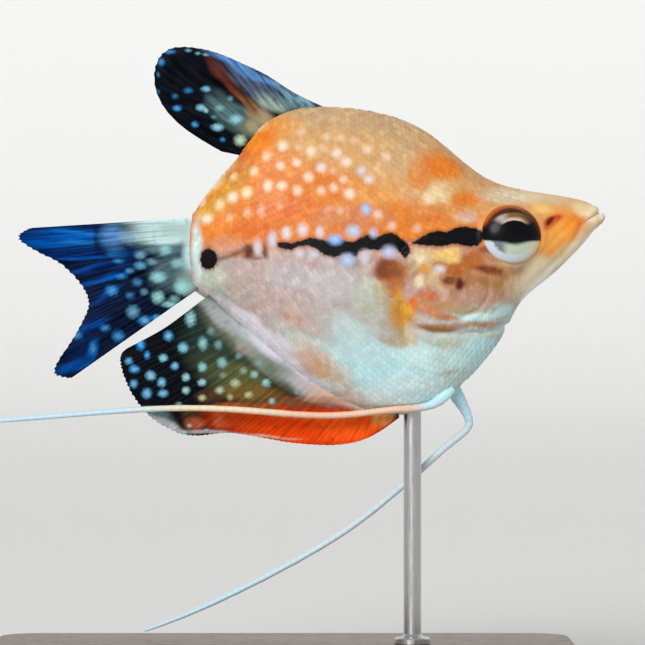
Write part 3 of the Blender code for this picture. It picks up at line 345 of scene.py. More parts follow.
# Pearls: x, z, half width, half height, tone from gold -1 to blue 1, how strong.
BODY_PEARLS = (
    (-3.1, 77.3, 0.95, 0.95, -0.6, 0.9), (0, 74.6, 0.68, 0.75, 0.1, 0.95),
    (2.4, 76.5, 0.68, 0.7, -0.3, 0.45), (-2.2, 73.2, 0.68, 0.75, -0.4, 0.7), (2, 74.5, 0.5, 0.5, -0.2, 0.35),
    (3.8, 73.9, 0.7, 0.75, 0.1, 0.9), (5.4, 74.3, 0.55, 0.6, 0, 0.4), (7.3, 73.6, 0.72, 0.75, 0.1, 0.9),
    (6, 75.8, 0.6, 0.65, -0.1, 0.45), (7.9, 75.7, 0.6, 0.65, -0.1, 0.45), (9.5, 75.4, 0.55, 0.6, -0.1, 0.4),
    (8.6, 72.4, 0.72, 0.72, 0, 0.9), (11.4, 74.1, 0.65, 0.7, 0.1, 0.7), (14, 73.2, 0.65, 0.65, 0, 0.55),
    (-0.3, 71.9, 0.62, 0.66, -0.2, 0.75), (1.9, 72.3, 0.64, 0.66, -0.1, 0.85),
    (5.2, 71.6, 0.7, 0.72, 0.3, 1), (6.8, 71.2, 0.5, 0.55, 0, 0.4), (10.6, 71.2, 0.66, 0.7, 0.4, 0.95),
    (11.6, 70, 0.72, 0.66, 0.3, 0.95), (12.6, 71.5, 0.5, 0.5, 0.1, 0.4), (3.5, 70.4, 0.7, 0.72, -0.1, 0.85),
    (8.2, 70, 0.62, 0.62, 0, 0.65), (6.9, 68.9, 0.62, 0.66, 0, 0.7), (9, 68.1, 0.78, 0.75, -0.1, 1),
    (5.2, 68.5, 0.62, 0.68, -0.1, 0.65), (2, 68.5, 0.66, 0.7, -0.2, 0.75),
    (-0.1, 69.2, 0.72, 0.64, -0.1, 0.85), (-2, 69.2, 0.62, 0.88, -0.2, 0.9),
    (-3.9, 71.2, 0.7, 0.72, -0.6, 0.85), (-4.9, 68.3, 0.82, 0.84, -0.6, 1),
    (-6.7, 70.5, 0.6, 0.66, -0.7, 0.75), (-6.8, 67.7, 0.82, 0.82, -0.3, 1),
    (-8.6, 66.7, 0.7, 0.86, -0.7, 0.85), (-10.3, 64.8, 0.95, 0.72, -0.3, 1),
    (-9.2, 69.4, 0.55, 0.6, -0.4, 0.6), (-10.9, 67, 0.6, 0.66, -0.1, 0.8),
    (-0.4, 66.4, 0.55, 0.6, -0.3, 0.35), (-2.9, 65.8, 0.55, 0.85, -0.2, 0.45),
    (-4.8, 65.6, 0.6, 0.7, -0.2, 0.4), (-7.2, 64.9, 0.55, 0.6, -0.3, 0.4), (11.2, 66, 0.68, 0.84, 0.7, 1),
    (12.8, 65.3, 0.62, 0.66, 0.2, 0.7), (14.7, 63.7, 0.62, 0.66, 0, 0.6), (7.8, 65.8, 0.55, 0.55, 0, 0.4),
    (6.2, 66, 0.5, 0.5, 0, 0.3), (19.6, 67.4, 0.75, 0.8, -0.4, 0.8), (18.1, 63.4, 0.6, 0.6, 0.1, 0.5),
    # along the stripe
    (-1.4, 61.9, 0.62, 1.2, 0.5, 1), (0.5, 62.8, 0.72, 0.9, 0.35, 1), (2.7, 63.2, 0.74, 0.92, 0.35, 1),
    (5, 62.9, 0.6, 0.86, 0.4, 0.95), (7.1, 61.9, 1, 0.75, 1, 1), (9.5, 63, 1, 0.86, 0.6, 1),
    (12.2, 62.8, 0.6, 0.76, 0.65, 0.8), (2.3, 60, 0.66, 0.66, 0.4, 0.8), (4.2, 59.9, 0.66, 0.66, 0.5, 0.85),
    (6.4, 59, 0.6, 0.6, 0.4, 0.5), (8.7, 59.1, 1, 0.92, 0.7, 0.95), (11, 59.5, 0.8, 1, 0.4, 0.85),
    (14.3, 60.2, 0.98, 0.9, 0.6, 0.9), (-3.4, 60.9, 0.6, 1.1, 0.4, 0.85),
    # gill cover
    (21.1, 57.9, 0.8, 0.6, 0.35, 1),
)
# On the fins the tone goes from olive -1 over mint to blue 1.
ANAL_PEARLS = (
    (-19.4, 47.8, 0.68, 0.9, 1, 1), (-18.5, 46.3, 0.45, 0.6, 0.9, 0.9), (-15.6, 48.9, 0.68, 0.72, 0.7, 1),
    (-13.6, 47.3, 0.75, 0.75, 0.4, 1), (-10.9, 47.9, 0.7, 0.95, 0.1, 0.8), (-12.6, 51.3, 0.8, 1.2, 0.1, 0.9),
    (-16.3, 45.9, 0.64, 0.58, 0.35, 1), (-14.7, 44.8, 0.6, 0.6, 0.5, 0.9), (-21, 45.5, 0.6, 0.55, 0.7, 0.8),
    (-20.2, 44.4, 0.75, 0.6, 0.8, 0.95), (-18, 43.5, 0.72, 0.7, 0.45, 1),
    (-16.5, 42.6, 0.62, 0.68, 0.5, 0.95), (-20.3, 42.4, 0.55, 0.65, 0.6, 0.9),
    (-18.5, 41.1, 0.72, 0.75, 0.6, 0.95), (-16.3, 41.1, 0.72, 0.55, 0.5, 0.95),
    (-13.2, 43.3, 0.58, 0.62, 0.2, 0.95), (-13.2, 41.5, 0.58, 0.56, 0.1, 0.95),
    (-11, 44.7, 0.66, 0.7, 0, 0.85), (-11, 42.6, 0.62, 0.56, -0.1, 0.95),
    (-11, 40.5, 0.58, 0.46, -0.7, 0.95), (-8.3, 45.3, 0.75, 0.75, -0.1, 0.7),
    (-8.6, 41.5, 0.66, 0.58, -0.5, 0.9), (-6.5, 42.5, 0.72, 0.66, -0.6, 0.9),
    (-8.8, 47.7, 0.64, 0.7, 0, 0.5), (-5.4, 44.2, 0.58, 0.58, -0.5, 0.45),
    (-3.9, 43.7, 0.6, 0.62, -0.3, 0.75), (-4.7, 40.9, 0.66, 0.5, -0.7, 0.8),
    (-7.2, 40.6, 0.5, 0.5, -0.8, 0.75), (-2.3, 42.5, 0.66, 0.62, -0.1, 0.85),
    (-1.5, 40, 0.52, 0.5, -0.3, 0.9), (-6, 46.2, 0.55, 0.55, -0.2, 0.35),
    (-8.2, 43.6, 0.55, 0.5, -0.3, 0.35), (-9.8, 49.6, 0.6, 0.7, 0.1, 0.35),
    (-14.2, 39.6, 0.5, 0.4, -0.3, 0.5), (1.9, 41.2, 0.4, 0.35, 0, 0.4), (-3.2, 45.2, 0.5, 0.5, -0.2, 0.3),
    # pale margin
    (-17.9, 37.9, 0.45, 0.3, 0.2, 0.6), (-16.7, 37.5, 0.4, 0.35, 0.1, 0.7),
    (-15.2, 36.4, 0.55, 0.3, 0.1, 0.8), (-13.5, 35.8, 0.6, 0.3, 0.1, 0.9),
    (-12.7, 36.7, 0.35, 0.3, -0.2, 0.8), (-10.4, 36.1, 0.4, 0.25, 0, 0.7),
)
DORSAL_PEARLS = (
    (-12.9, 82.3, 0.72, 0.46, 0.9, 0.45), (-10.5, 82.5, 0.72, 0.48, 0.5, 0.85),
    (-14.7, 81.5, 0.55, 0.42, 1, 0.35), (-14.4, 79.9, 0.7, 0.46, 0.9, 0.8), (-11.2, 80, 0.7, 0.5, 0.35, 1),
    (-10.5, 79.6, 0.4, 0.4, 0, 0.9), (-8.6, 79.9, 0.7, 0.58, 0.1, 0.5), (-6.4, 78.4, 1, 0.72, 0.3, 1),
    (-12, 77.7, 0.55, 0.46, 0.8, 0.8), (-8.9, 77.3, 0.9, 0.56, 0.3, 1), (-8.2, 75.6, 0.45, 0.4, 1, 0.5),
    (-5.8, 75.5, 0.9, 0.8, -0.5, 1), (-7.2, 81.2, 0.5, 0.4, 0.3, 0.4), (-9.4, 78.7, 0.45, 0.3, 0.4, 0.4),
    (-12.9, 87.8, 0.5, 0.28, 0.4, 0.6), (-11.6, 87.4, 0.42, 0.26, 0.3, 0.6),
    (-10.5, 87.2, 0.5, 0.25, 0.3, 0.6), (-15.4, 87.6, 0.85, 0.36, 1, 0.6), (-16.6, 86.2, 0.55, 0.6, 1, 0.6),
    (-17, 84.5, 0.3, 0.45, 1, 0.4), (-17, 82.2, 0.35, 0.4, 1, 0.3),
)
TAIL_PEARLS = (
    (-16, 60.6, 0.95, 0.8, 0.2, 0.8), (-19.4, 58.5, 0.95, 0.6, 0.6, 0.7), (-17, 56.9, 1.2, 0.85, 0.2, 0.95),
    (-13.7, 55.6, 1.25, 1.1, 0, 1), (-17, 54.2, 0.95, 0.95, 0.1, 0.85), (-15.4, 53.2, 1.2, 0.5, 0.1, 0.8),
    (-20.4, 52.2, 0.95, 0.95, 0.5, 0.6), (-18.8, 51, 0.95, 0.7, 0.8, 0.85), (-17.2, 51.4, 0.8, 0.5, 1, 0.8),
    (-23.3, 55.1, 0.95, 0.85, 1, 0.6), (-22.4, 48.9, 0.9, 0.85, 1, 0.6), (-24.2, 50, 0.8, 0.6, 1, 0.5),
    (-25.8, 47.2, 0.7, 1.2, 1, 0.4), (-28, 49, 0.85, 0.7, 1, 0.45), (-19.8, 56.2, 0.8, 0.6, 0.8, 0.45),
    (-22, 57, 0.9, 0.5, 1, 0.4), (-20.8, 54.4, 0.7, 0.6, 0.9, 0.35), (-19.4, 59.9, 0.9, 0.6, 0.4, 0.6),
    (-20.9, 57.8, 0.7, 0.45, 0.7, 0.5), (-22.4, 59.1, 0.9, 0.4, 0.9, 0.5), (-14.3, 58.8, 1.1, 0.8, 0.1, 0.7),
    (-17.9, 59, 0.8, 0.5, 0.3, 0.5), (-14.8, 53.9, 0.8, 0.6, 0, 0.5), (-18.9, 54.9, 0.6, 0.5, 0.4, 0.4),
)
LEFT_PEARLS_STRAY = 0.5
PEARL_BATCH = 8192
# How far out a patch starts, and over how much it fades in, in its own half sizes.
PATCH_REACH = 1.3
PATCH_FADE = 0.9
# The waves that bend the patches' edges: their size, and how far apart the two flanks' waves are.
PATCH_WAVES = 4.5
FLANKS_APART = 9.0
# Where the body's ground paints meet: a level and the height over which one goes into the other. The back's
# level falls forward by BACK_SLOPE from BACK_FROM.
STRIPE_LEVEL = (60.0, 2.4)
# The back's paler top above this level is painted light from above.
LIT_BACK_LEVEL = (65.0, 11.0)
BELLY_LEVEL = (54.0, 10.0)
BACK_SLOPE = 0.25
BACK_FROM = 5.0

# Each fin: where its rays leave the body, then where they end, as x and z, first ray to last.
DORSAL_ROOT = ((5.0, 79.0), (-0.2, 78.4), (-3.6, 76.2), (-5.4, 73.4))
DORSAL_EDGE = (
    (5.3, 80.2), (1.4, 82.1), (-2.0, 84.3), (-5.2, 85.9), (-8.4, 87.3), (-11.8, 88.2), (-15.4, 88.1),
    (-17.4, 85.8), (-17.2, 81.8), (-14.0, 77.6), (-8.4, 74.0),
)
ANAL_ROOT = ((15.6, 38.8), (9.0, 39.9), (3.6, 43.0), (-1.2, 46.9), (-6.2, 51.0), (-10.4, 54.2))
ANAL_EDGE = (
    (15.8, 37.8), (10.8, 34.7), (5.2, 34.0), (0.4, 34.4), (-4.2, 35.2), (-8.6, 35.6), (-12.8, 35.3),
    (-17.0, 37.0), (-20.2, 40.2), (-22.0, 44.0), (-21.8, 46.8), (-18.4, 48.2),
)
TAIL_ROOT = ((-11.4, 65.0), (-12.2, 62.6), (-12.6, 60.0), (-12.2, 57.2), (-11.4, 55.4))
TAIL_EDGE = (
    (-34.6, 63.6), (-36.3, 62.3), (-33.8, 60.4), (-30.2, 58.5), (-27.5, 55.6), (-26.6, 53.2), (-27.6, 50.4),
    (-29.5, 47.2), (-31.3, 44.0), (-29.0, 43.0),
)
FIN_SINK = 1.0
# How each fin strays from the middle plane: how far at its edge, how fast that grows from the root, the
# turn from first ray to last in radians, the turn from root to edge, and where the first ray starts.
DORSAL_SWAY = (0.9, 2.0, 2.2, 0.0, 0.4)
ANAL_SWAY = (0.55, 1.5, 9.0, -1.2, 0.0)
TAIL_SWAY = (0.9, 1.6, 4.2, 0.0, 0.8)
# Thickness of a fin's membrane, of a ray over it at root and tip, and of the fin's rim.
MEMBRANE = 0.14
RAY_ROOT = 0.17
RAY_TIP = 0.08
RIM_THICKNESS = 0.05
RAY_COLUMNS = 10
RAY_HALF_WIDTH = (0.17, 0.1)
# Where a ray starts to fork, over how much of its length, and half the way between its branches at the tip.
FORK = (0.35, 0.5, 0.22)
# How high a ray's ridge is at its root, where it starts to grow from there and over how much of its length.
RIDGE_ROOT = (0.2, 0.08, 0.3)
FRAY = 0.6
FIN_UNEVEN = 0.03
FIN_LUMPS = 3.0
RIM_START = 0.9
# The fins on the middle plane: name, ground paint, rays, rows, how deep the edge is notched as a share of a
# ray, the fleshy root's thickness and reach, how strongly rays are streaked, and the lists above.
FINS = (
    ("dorsal_fin", "ink", 16, 64, 0.008, 1.2, 1.1, 0.75,
     DORSAL_ROOT, DORSAL_EDGE, DORSAL_SWAY, DORSAL_PATCHES, DORSAL_PEARLS),
    ("anal_fin", "ink", 34, 64, 0.01, 2.0, 1.9, 0.26,
     ANAL_ROOT, ANAL_EDGE, ANAL_SWAY, ANAL_PATCHES, ANAL_PEARLS),
    ("tail_fin", "midnight", 18, 90, 0.012, 1.9, 2.2, 0.6,
     TAIL_ROOT, TAIL_EDGE, TAIL_SWAY, TAIL_PATCHES, TAIL_PEARLS),
)

PECTORAL_PLACE = (16.4, 51.5)
PECTORAL_BASE = 4.2
PECTORAL_REACH = ((10.0, 163.0), (12.2, 174.0), (12.4, 186.0), (10.6, 200.0), (8.0, 216.0), (5.6, 236.0))
PECTORAL_SPLAY = 12.0
PECTORAL_SHOULDER = 1.3
PECTORAL_SINK = 0.5
PECTORAL_RAYS = 12
PECTORAL_ROWS = 44
PECTORAL_FAN = 0.4
PECTORAL_NOTCH = 0.03
# Thickness of the membrane, of a ray over it at its root, how much that thins, of the root, and its reach.
PECTORAL_THICK = (0.12, 0.12, 0.06, 0.4, 0.08)

# The thread-like pelvic fins, root to tip: x, z, how far the middle stands off the skin or, past the body,
# off the middle plane, and half the thickness. The right one lies along the belly and the left one hangs.
RIGHT_FEELER = (
    (22.6, 42.0, -0.8, 1.0), (21.0, 40.1, 1.0, 0.7), (18.4, 39.2, 1.0, 0.52), (14.6, 38.9, 1.1, 0.48),
    (9.4, 38.3, 2.6, 0.46), (3.0, 38.2, 2.5, 0.45), (-6.0, 38.9, 2.6, 0.43), (-16.0, 39.1, 3.2, 0.41),
    (-27.0, 38.4, 4.3, 0.36), (-37.0, 37.6, 5.3, 0.3), (-43.9, 37.1, 6.0, 0.16),
)
LEFT_FEELER = (
    (22.9, 42.0, -0.8, 1.1), (24.1, 40.1, 2.0, 0.85), (25.2, 38.0, 2.5, 0.6), (25.1, 36.2, 2.8, 0.52),
    (22.8, 34.2, 3.2, 0.5), (19.9, 31.6, 3.7, 0.48), (15.9, 28.0, 4.3, 0.46), (10.4, 23.5, 5.1, 0.44),
    (5.0, 19.9, 5.9, 0.42), (-0.6, 16.7, 6.7, 0.4), (-6.2, 13.8, 7.4, 0.37), (-11.9, 11.1, 8.0, 0.33),
    (-17.0, 9.0, 8.5, 0.25), (-19.2, 8.2, 8.7, 0.16),
)
FEELER_ROOT = 0.16
FEELER_THIN = 0.35
FEELER_BROAD = 0.55
FEELER_GRID = (260, 18)
FEELER_END = 0.9995  # where its last ring lies
# How uneven its thickness is, and the size of its lumps as a share of its length.
FEELER_UNEVEN = 0.04
FEELER_LUMPS = 1 / 30

BASE_LENGTH = 80.0
BASE_WIDTH = 44.0
BASE_HEIGHT = 7.0
BASE_CORNER = 6.0
BASE_BEVEL = 0.8
BASE_FOOT = 0.4
ROD_X = 17.6
ROD_RADIUS = 1.2
ROD_TOP = 42.0
ROD_FOOT = 1.5
ROD_SIDES = 48
# The rod's flange: radius and height over the base, from below.
FLANGE = ((2.3, -0.1), (2.45, 0.1), (2.45, 0.7), (2.3, 0.9), (1.5, 1.05), (ROD_RADIUS, 1.4))

CAMERA_PLACE = (5.37, -600.0, 50.73)
CAMERA_LENS = 246.2
SENSOR = 36.0
STAGE_TINT = (0.75, 0.75, 0.74)
# The floor: front edge, where it starts to curve up, the curve's radius, half the breadth and the top.
FLOOR = (-3500.0, 1700.0, 900.0, 4000.0, 4000.0)
ROOM_LIGHT = 0.45
# Soft lights: height over the floor, turn from straight in front and breadth, in degrees, and strength.
LAMPS = (("front_light", 26.0, -20.0, 30.0, 2.4), ("back_light", 38.0, 150.0, 40.0, 1.6))
# How much brighter than its paint the studio light shows a surface that faces the camera.
LIGHT_GAIN = 1.1


def smooth(value):
    """0 below 0, 1 above 1 and an even S between them."""
    share = np.clip(value, 0, 1)
    return share * share * (3 - 2 * share)


def bell(away, width):
    """1 where away is 0, falling as a bell of this width to 0 on both sides."""
    return np.exp(-((away / width) ** 2))


def unit(vectors):
    """Vectors made 1 long."""
    return vectors / np.linalg.norm(vectors, axis=-1, keepdims=True)


def travelled(line):
    """How far each point of a line lies along it."""
    return np.append(0, np.cumsum(np.linalg.norm(np.diff(line, axis=0), axis=1)))


def off_oval(x, z, middle, halves, tilt=0.0):
    """How far a point lies from an oval's middle, 1 on its edge, with the oval tilted by degrees."""
    turn = math.radians(tilt)
    dx, dz = x - middle[0], z - middle[1]
    along = (dx * math.cos(turn) + dz * math.sin(turn)) / halves[0]
    across = (dz * math.cos(turn) - dx * math.sin(turn)) / halves[1]
    return np.hypot(along, across)


def spline(knots, at):
    """Natural cubic spline through evenly spaced knots, read at places from 0 to 1."""
    knots = np.asarray(knots, float)
    count = len(knots)
    flat = knots.reshape(count, -1)
    matrix = np.eye(count)
    right = np.zeros_like(flat)
    for i in range(1, count - 1):
        matrix[i, i - 1 : i + 2] = (1, 4, 1)
        right[i] = 6 * (flat[i + 1] - 2 * flat[i] + flat[i - 1])
    bend = np.linalg.solve(matrix, right)
    place = np.clip(np.asarray(at, float), 0, 1) * (count - 1)
    i = np.minimum(place.astype(int), count - 2)
    t = (place - i)[..., None]
    value = (
        (1 - t) * flat[i]
        + t * flat[i + 1]
        + ((1 - t) ** 3 - (1 - t)) * bend[i] / 6
        + (t**3 - t) * bend[i + 1] / 6
    )
    return value.reshape(np.shape(at) + knots.shape[1:])


def closed_spline(knots, at):
    """Smooth closed line through the knots, read at places from 0 to 1 round it."""
    knots = list(knots)
    wrapped = knots[-3:] + knots + knots[:3]
    start = 3 / (len(wrapped) - 1)
    span = len(knots) / (len(wrapped) - 1)
    return spline(wrapped, start + np.asarray(at, float) * span)


def section(s):
    """The body at s, snout 0 to tail 1: top, bottom, half width, widest level and both edges' powers."""
    row = spline(SECTIONS, s)
    levels = (spline(level, s) for level in (WIDEST, TOP_EDGE, BOTTOM_EDGE))
    return row[..., 0:2], row[..., 2:4], row[..., 4], *levels


def swell(x, z):
    """How far the flesh round the eye stands out: a bell round the eye's middle."""
    return ORBIT_SWELL * bell(np.hypot(x - EYE[0], z - EYE[1]), ORBIT_REACH)


def half_width(x, z):
    """The body's half width where the side view shows the point x, z.

    Halving finds the section that passes through the point. Its half width is the section's, times the cosine
    of the point's angle round it to the edge's power, and the swelling round the eye is added.
    """
    x, z = np.broadcast_arrays(np.asarray(x, float), np.asarray(z, float))
    low, high = np.zeros(x.shape), np.ones(x.shape)
    for _ in range(HALVINGS):
        middle = (low + high) / 2
        edges = spline([row[:4] for row in SECTIONS], middle)
        up = edges[..., 0:2] - edges[..., 2:4]
        behind = up[..., 0] * (z - edges[..., 3]) - up[..., 1] * (x - edges[..., 2]) > 0
        low = np.where(behind, middle, low)
        high = np.where(behind, high, middle)
    top, bottom, width, widest, top_power, bottom_power = section(low)
    up = top - bottom
    along = ((x - bottom[..., 0]) * up[..., 0] + (z - bottom[..., 1]) * up[..., 1]) / (up**2).sum(-1)
    t = np.clip(2 * along - 1, -1, 1)
    q = (t - widest) / (1 - widest * t)
    power = np.where(q > 0, top_power, bottom_power)
    edge = np.clip(1 - q**2, 0, 1)
    return width * edge ** (power / 2) + swell(x, z) * np.sqrt(edge)


def on_skin(x, z, side):
    """The point of the skin that the side view shows at x, z, and the way the skin faces there."""
    rise_x = half_width(x + SLOPE_REACH, z) - half_width(x - SLOPE_REACH, z)
    rise_z = half_width(x, z + SLOPE_REACH) - half_width(x, z - SLOPE_REACH)
    out = unit(np.array([-rise_x, side * 2 * SLOPE_REACH, -rise_z]))
    return np.array([x, side * half_width(x, z), z]), out


def by_the_mouth(x, z):
    """How far a point lies ahead of the mouth's corner along its line, and how far above the line."""
    along = unit(np.subtract(MOUTH_FRONT, MOUTH_CORNER))
    away_x, away_z = x - MOUTH_CORNER[0], z - MOUTH_CORNER[1]
    return away_x * along[0] + away_z * along[1], away_z * along[0] - away_x * along[1]


def lip_rise(x, z):
    """How far the lips stand out: a bell across each, from the mouth's corner forward."""
    ahead, above = by_the_mouth(x, z)
    return sum(rise * bell(above - level, width) for level, rise, width in LIPS) * smooth(ahead / LIP_START)


def past_gill_edge(x, z):
    """How far outside the gill cover a point lies, less than 0 on it, measured from the cover's middle."""
    edge = closed_spline(GILL_COVER, np.linspace(0, 1, GILL_STEPS, endpoint=False))
    centre = edge.mean(0)
    heading = np.arctan2(edge[:, 1] - centre[1], edge[:, 0] - centre[0])
    order = heading.argsort()
    reach = np.hypot(*(edge - centre).T)[order]
    away = np.interp(np.arctan2(z - centre[1], x - centre[0]), heading[order], reach, period=FULL_TURN)
    return np.hypot(x - centre[0], z - centre[1]) - away


def crease(x, z, path, width):
    """1 on the smooth line through the path's points and a bell's fall to 0 beside it."""
    line = spline(path, np.linspace(0, 1, CREASE_STEPS))
    near = np.full(np.shape(x), np.inf)
    for (ax, az), (bx, bz) in zip(line[:-1], line[1:]):
        share = ((x - ax) * (bx - ax) + (z - az) * (bz - az)) / ((bx - ax) ** 2 + (bz - az) ** 2)
        share = np.clip(share, 0, 1)
        near = np.minimum(near, np.hypot(x - ax - share * (bx - ax), z - az - share * (bz - az)))
    return bell(near, width)


def relief(x, z):
    """How far the skin rises over the plain body, for all that the head's modelling adds.

    The gill cover lifts towards its back edge and has a groove behind it. Creases are bells along lines, the
    mouth is a sharp bell along its line, each nostril a pit with a rim, and the skin dips under the eye.
    """
    past = past_gill_edge(x, z)
    back = np.clip(0.5 + (GILL_MIDDLE - x) / GILL_LIFT_LENGTH, 0.1, 1)
    rise = GILL_RISE * back * smooth(0.5 - past / GILL_EDGE)
    rise -= GILL_GROOVE[0] * back * bell(past - GILL_GROOVE[1], GILL_GROOVE[2])
    for path, depth, width in CREASES:
        rise -= depth * crease(x, z, path, width)
    ahead, above = by_the_mouth(x, z)
    rise -= MOUTH_DEPTH * bell(above, MOUTH_WIDTH) * smooth(ahead / LIP_START + 0.5)
    pit = off_oval(x, z, NOSTRIL, NOSTRIL_SIZE, NOSTRIL_SLANT)
    eye = off_oval(x, z, EYE, EYE_SIZE)
    for away, (height, place, width) in ((pit, NOSTRIL_RIM), (eye, ORBIT_RIM)):
        rise += height * bell(away - place, width)
    rise -= NOSTRIL_DEPTH[0] * smooth(NOSTRIL_DEPTH[1] - pit)
    return rise - ORBIT_DIP[0] * smooth((ORBIT_DIP[1] - eye) / ORBIT_DIP[2])


def facing(points):
    """The outward direction at each point of a flank's grid, from how it runs along and up the body."""
    mirrored = points * (1, -1, 1)
    wide = np.concatenate([mirrored[:, 1:2], points, mirrored[:, -2:-1]], axis=1)
    up = wide[:, 2:] - wide[:, :-2]
    out = np.cross(up, np.gradient(points, axis=0))
    return out / np.maximum(np.linalg.norm(out, axis=-1, keepdims=True), 1e-9)


def flank():
    """The right flank as a grid, snout to tail by belly to back: its points, and the way each faces.

    A section at s runs from its bottom edge to its top. At angle a the height is the sine of a, shifted to
    the widest level, and the half width is the cosine to the edge's power. Rings past both ends close into
    domes.
    """
    dome = np.radians(np.linspace(*DOME_TURN, DOME_ROWS))
    head = np.linspace(0, HEAD_SHARE, HEAD_ROWS, endpoint=False)
    middle = np.append(head, np.linspace(HEAD_SHARE, 1, BODY_ROWS))
    places = np.concatenate([0 * dome, middle, 0 * dome + 1])
    shrink = np.concatenate([np.cos(dome), np.ones(len(middle)), np.cos(dome[::-1])])[:, None]
    fore, aft = (SNOUT_DOME - SCALE_DEPTH) * np.sin(dome), -(TAIL_DOME - SCALE_DEPTH) * np.sin(dome[::-1])
    shift = np.concatenate([fore, np.zeros(len(middle)), aft])[:, None]
    top, bottom, width, widest, top_power, bottom_power = section(places)
    centre = (top + bottom) / 2
    half = (top - bottom) / 2
    length = np.linalg.norm(half, axis=1, keepdims=True)
    half = half * (length - SCALE_DEPTH) / length
    angle = np.linspace(-QUARTER_TURN, QUARTER_TURN, SIDE_COLUMNS + 1)[None, :]
    q = np.sin(angle)
    edge = np.clip(np.cos(angle), 0, 1)
    t = (q + widest[:, None]) / (1 + widest[:, None] * q)
    power = np.where(q > 0, top_power[:, None], bottom_power[:, None])
    side = (width - SCALE_DEPTH)[:, None] * edge**power
    side = (side + swell(centre[:, :1] + half[:, :1] * t, centre[:, 1:] + half[:, 1:] * t) * edge) * shrink
    x = centre[:, :1] + half[:, :1] * t * shrink + shift
    z = centre[:, 1:] + half[:, 1:] * t * shrink
    corner = np.insert(MOUTH_CORNER, 1, 0.0)
    away = np.stack([x, -side, z], -1) - corner
    reach = np.maximum(np.linalg.norm(away, axis=-1), 0.3)
    points = corner + away * (1 + lip_rise(x, z) / reach)[..., None]
    out = facing(points)
    points = points + out * relief(points[..., 0], points[..., 2])[..., None]
    points[:, (0, -1), 1] = 0
    return points, facing(points)


def look_up(grid, row, column):
    """A flank's grid read between its points. Past belly or back it goes on down the other flank."""
    last = grid.shape[1] - 1
    over = (column < 0) | (column > last)
    column = np.where(column < 0, -column, np.where(column > last, 2 * last - column, column))
    row = np.clip(row, 0, grid.shape[0] - 1)
    i = np.minimum(row.astype(int), grid.shape[0] - 2)
    j = np.minimum(column.astype(int), last - 1)
    a, b = (row - i)[..., None], (column - j)[..., None]
    value = (grid[i, j] * (1 - a) + grid[i + 1, j] * a) * (1 - b)
    value += (grid[i, j + 1] * (1 - a) + grid[i + 1, j + 1] * a) * b
    value[..., 1] *= np.where(over, -1, 1)
    return value


def grid_faces(rows, columns, closed=False):
    """The four-cornered faces of a grid of points, with its last column joined to its first where closed."""
    i, j = np.meshgrid(np.arange(rows - 1), np.arange(columns if closed else columns - 1), indexing="ij")
    low, high, after = i * columns, (i + 1) * columns, (j + 1) % columns
    return np.stack([low + j, low + after, high + after, high + j], -1).reshape(-1, 4)


def tube_faces(rings, around):
    """The faces of a tube of rings, each end closed by triangles to its own point, added after the rings."""
    count = rings * around
    faces = [grid_faces(rings, around, closed=True)]
    j = np.arange(around)
    for centre, start, step in ((count, 0, 1), (count + 1, count - around, -1)):
        ends = (start + (j + 1) % around, start + j)
        faces.append(np.column_stack([np.full(around, centre), *ends[::step]]))
    return faces


def volume(points, faces):
    """Six times what a mesh's faces enclose, more than 0 where they point outwards."""
    total = 0.0
    for k in range(2, faces.shape[1]):
        a, b, c = points[faces[:, 0]], points[faces[:, k - 1]], points[faces[:, k]]
        total += np.einsum("ij,ij->", a, np.cross(b, c))
    return total


def make_piece(name, points, faces, finish, slot, sharp=40.0, **fields):
    """A piece from points in millimetres, sets of faces and values kept at its points, turned outwards."""
    points = np.asarray(points, float)
    if sum(volume(points, part) for part in faces if part.shape[1] < 5) < 0:
        faces = [part[:, ::-1] for part in faces]
    mesh = bpy.data.meshes.new(name)
    mesh.from_pydata((points * MM).tolist(), [], [face for part in faces for face in part.tolist()])
    for field, value in fields.items():
        value = np.asarray(value, np.float32)
        kind, key = {1: ("FLOAT", "value"), 3: ("FLOAT_VECTOR", "vector")}[value.size // len(points)]
        mesh.attributes.new(field, kind, "POINT").data.foreach_set(key, value.ravel())
    mesh.shade_smooth()
    mesh.set_sharp_from_angle(angle=math.radians(sharp))
    mesh.materials.append(finish.material)
    piece = bpy.data.objects.new(name, mesh)
    bpy.context.scene.collection.objects.link(piece)
    if slot:
        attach(piece, "root")
    return piece


def linear(paint):
    """A named paint as the light that a surface returns."""
    value = np.array(PAINTS[paint], float) / 255
    value = np.where(value <= 0.04045, value / 12.92, ((value + 0.055) / 1.055) ** 2.4)
    return value / LIGHT_GAIN


def wobble(x, z, size, seed):
    """Unevenness of about this size: six waves in seeded directions, from -2 to 2 and mostly within 1."""
    draw = np.random.default_rng(seed)
    total = 0
    for _ in range(6):
        heading, start = draw.uniform(0, FULL_TURN, 2)
        pace = FULL_TURN / (size * draw.uniform(0.6, 1.6))
        total = total + np.sin((x * math.cos(heading) + z * math.sin(heading)) * pace + start)
    return total / 3


def lay_patches(tint, points, patches, stray=0.3):
    """Blends soft oval patches of paint over a tint, in order. Waves bend each oval's edge."""
    x, z = points[..., 0], points[..., 2]
    apart = FLANKS_APART * np.sign(points[..., 1])
    bent_x = x + stray * wobble(x + apart, z, PATCH_WAVES, SEED)
    bent_z = z + stray * wobble(x, z + apart, PATCH_WAVES, SEED + 1)
    for paint, at_x, at_z, long, high, strength, *tilt in patches:
        away = off_oval(bent_x, bent_z, (at_x, at_z), (long, high), *tilt)
        share = strength * smooth((PATCH_REACH - away) / PATCH_FADE)
        tint = tint + (linear(paint) - tint) * share[..., None]
    return tint


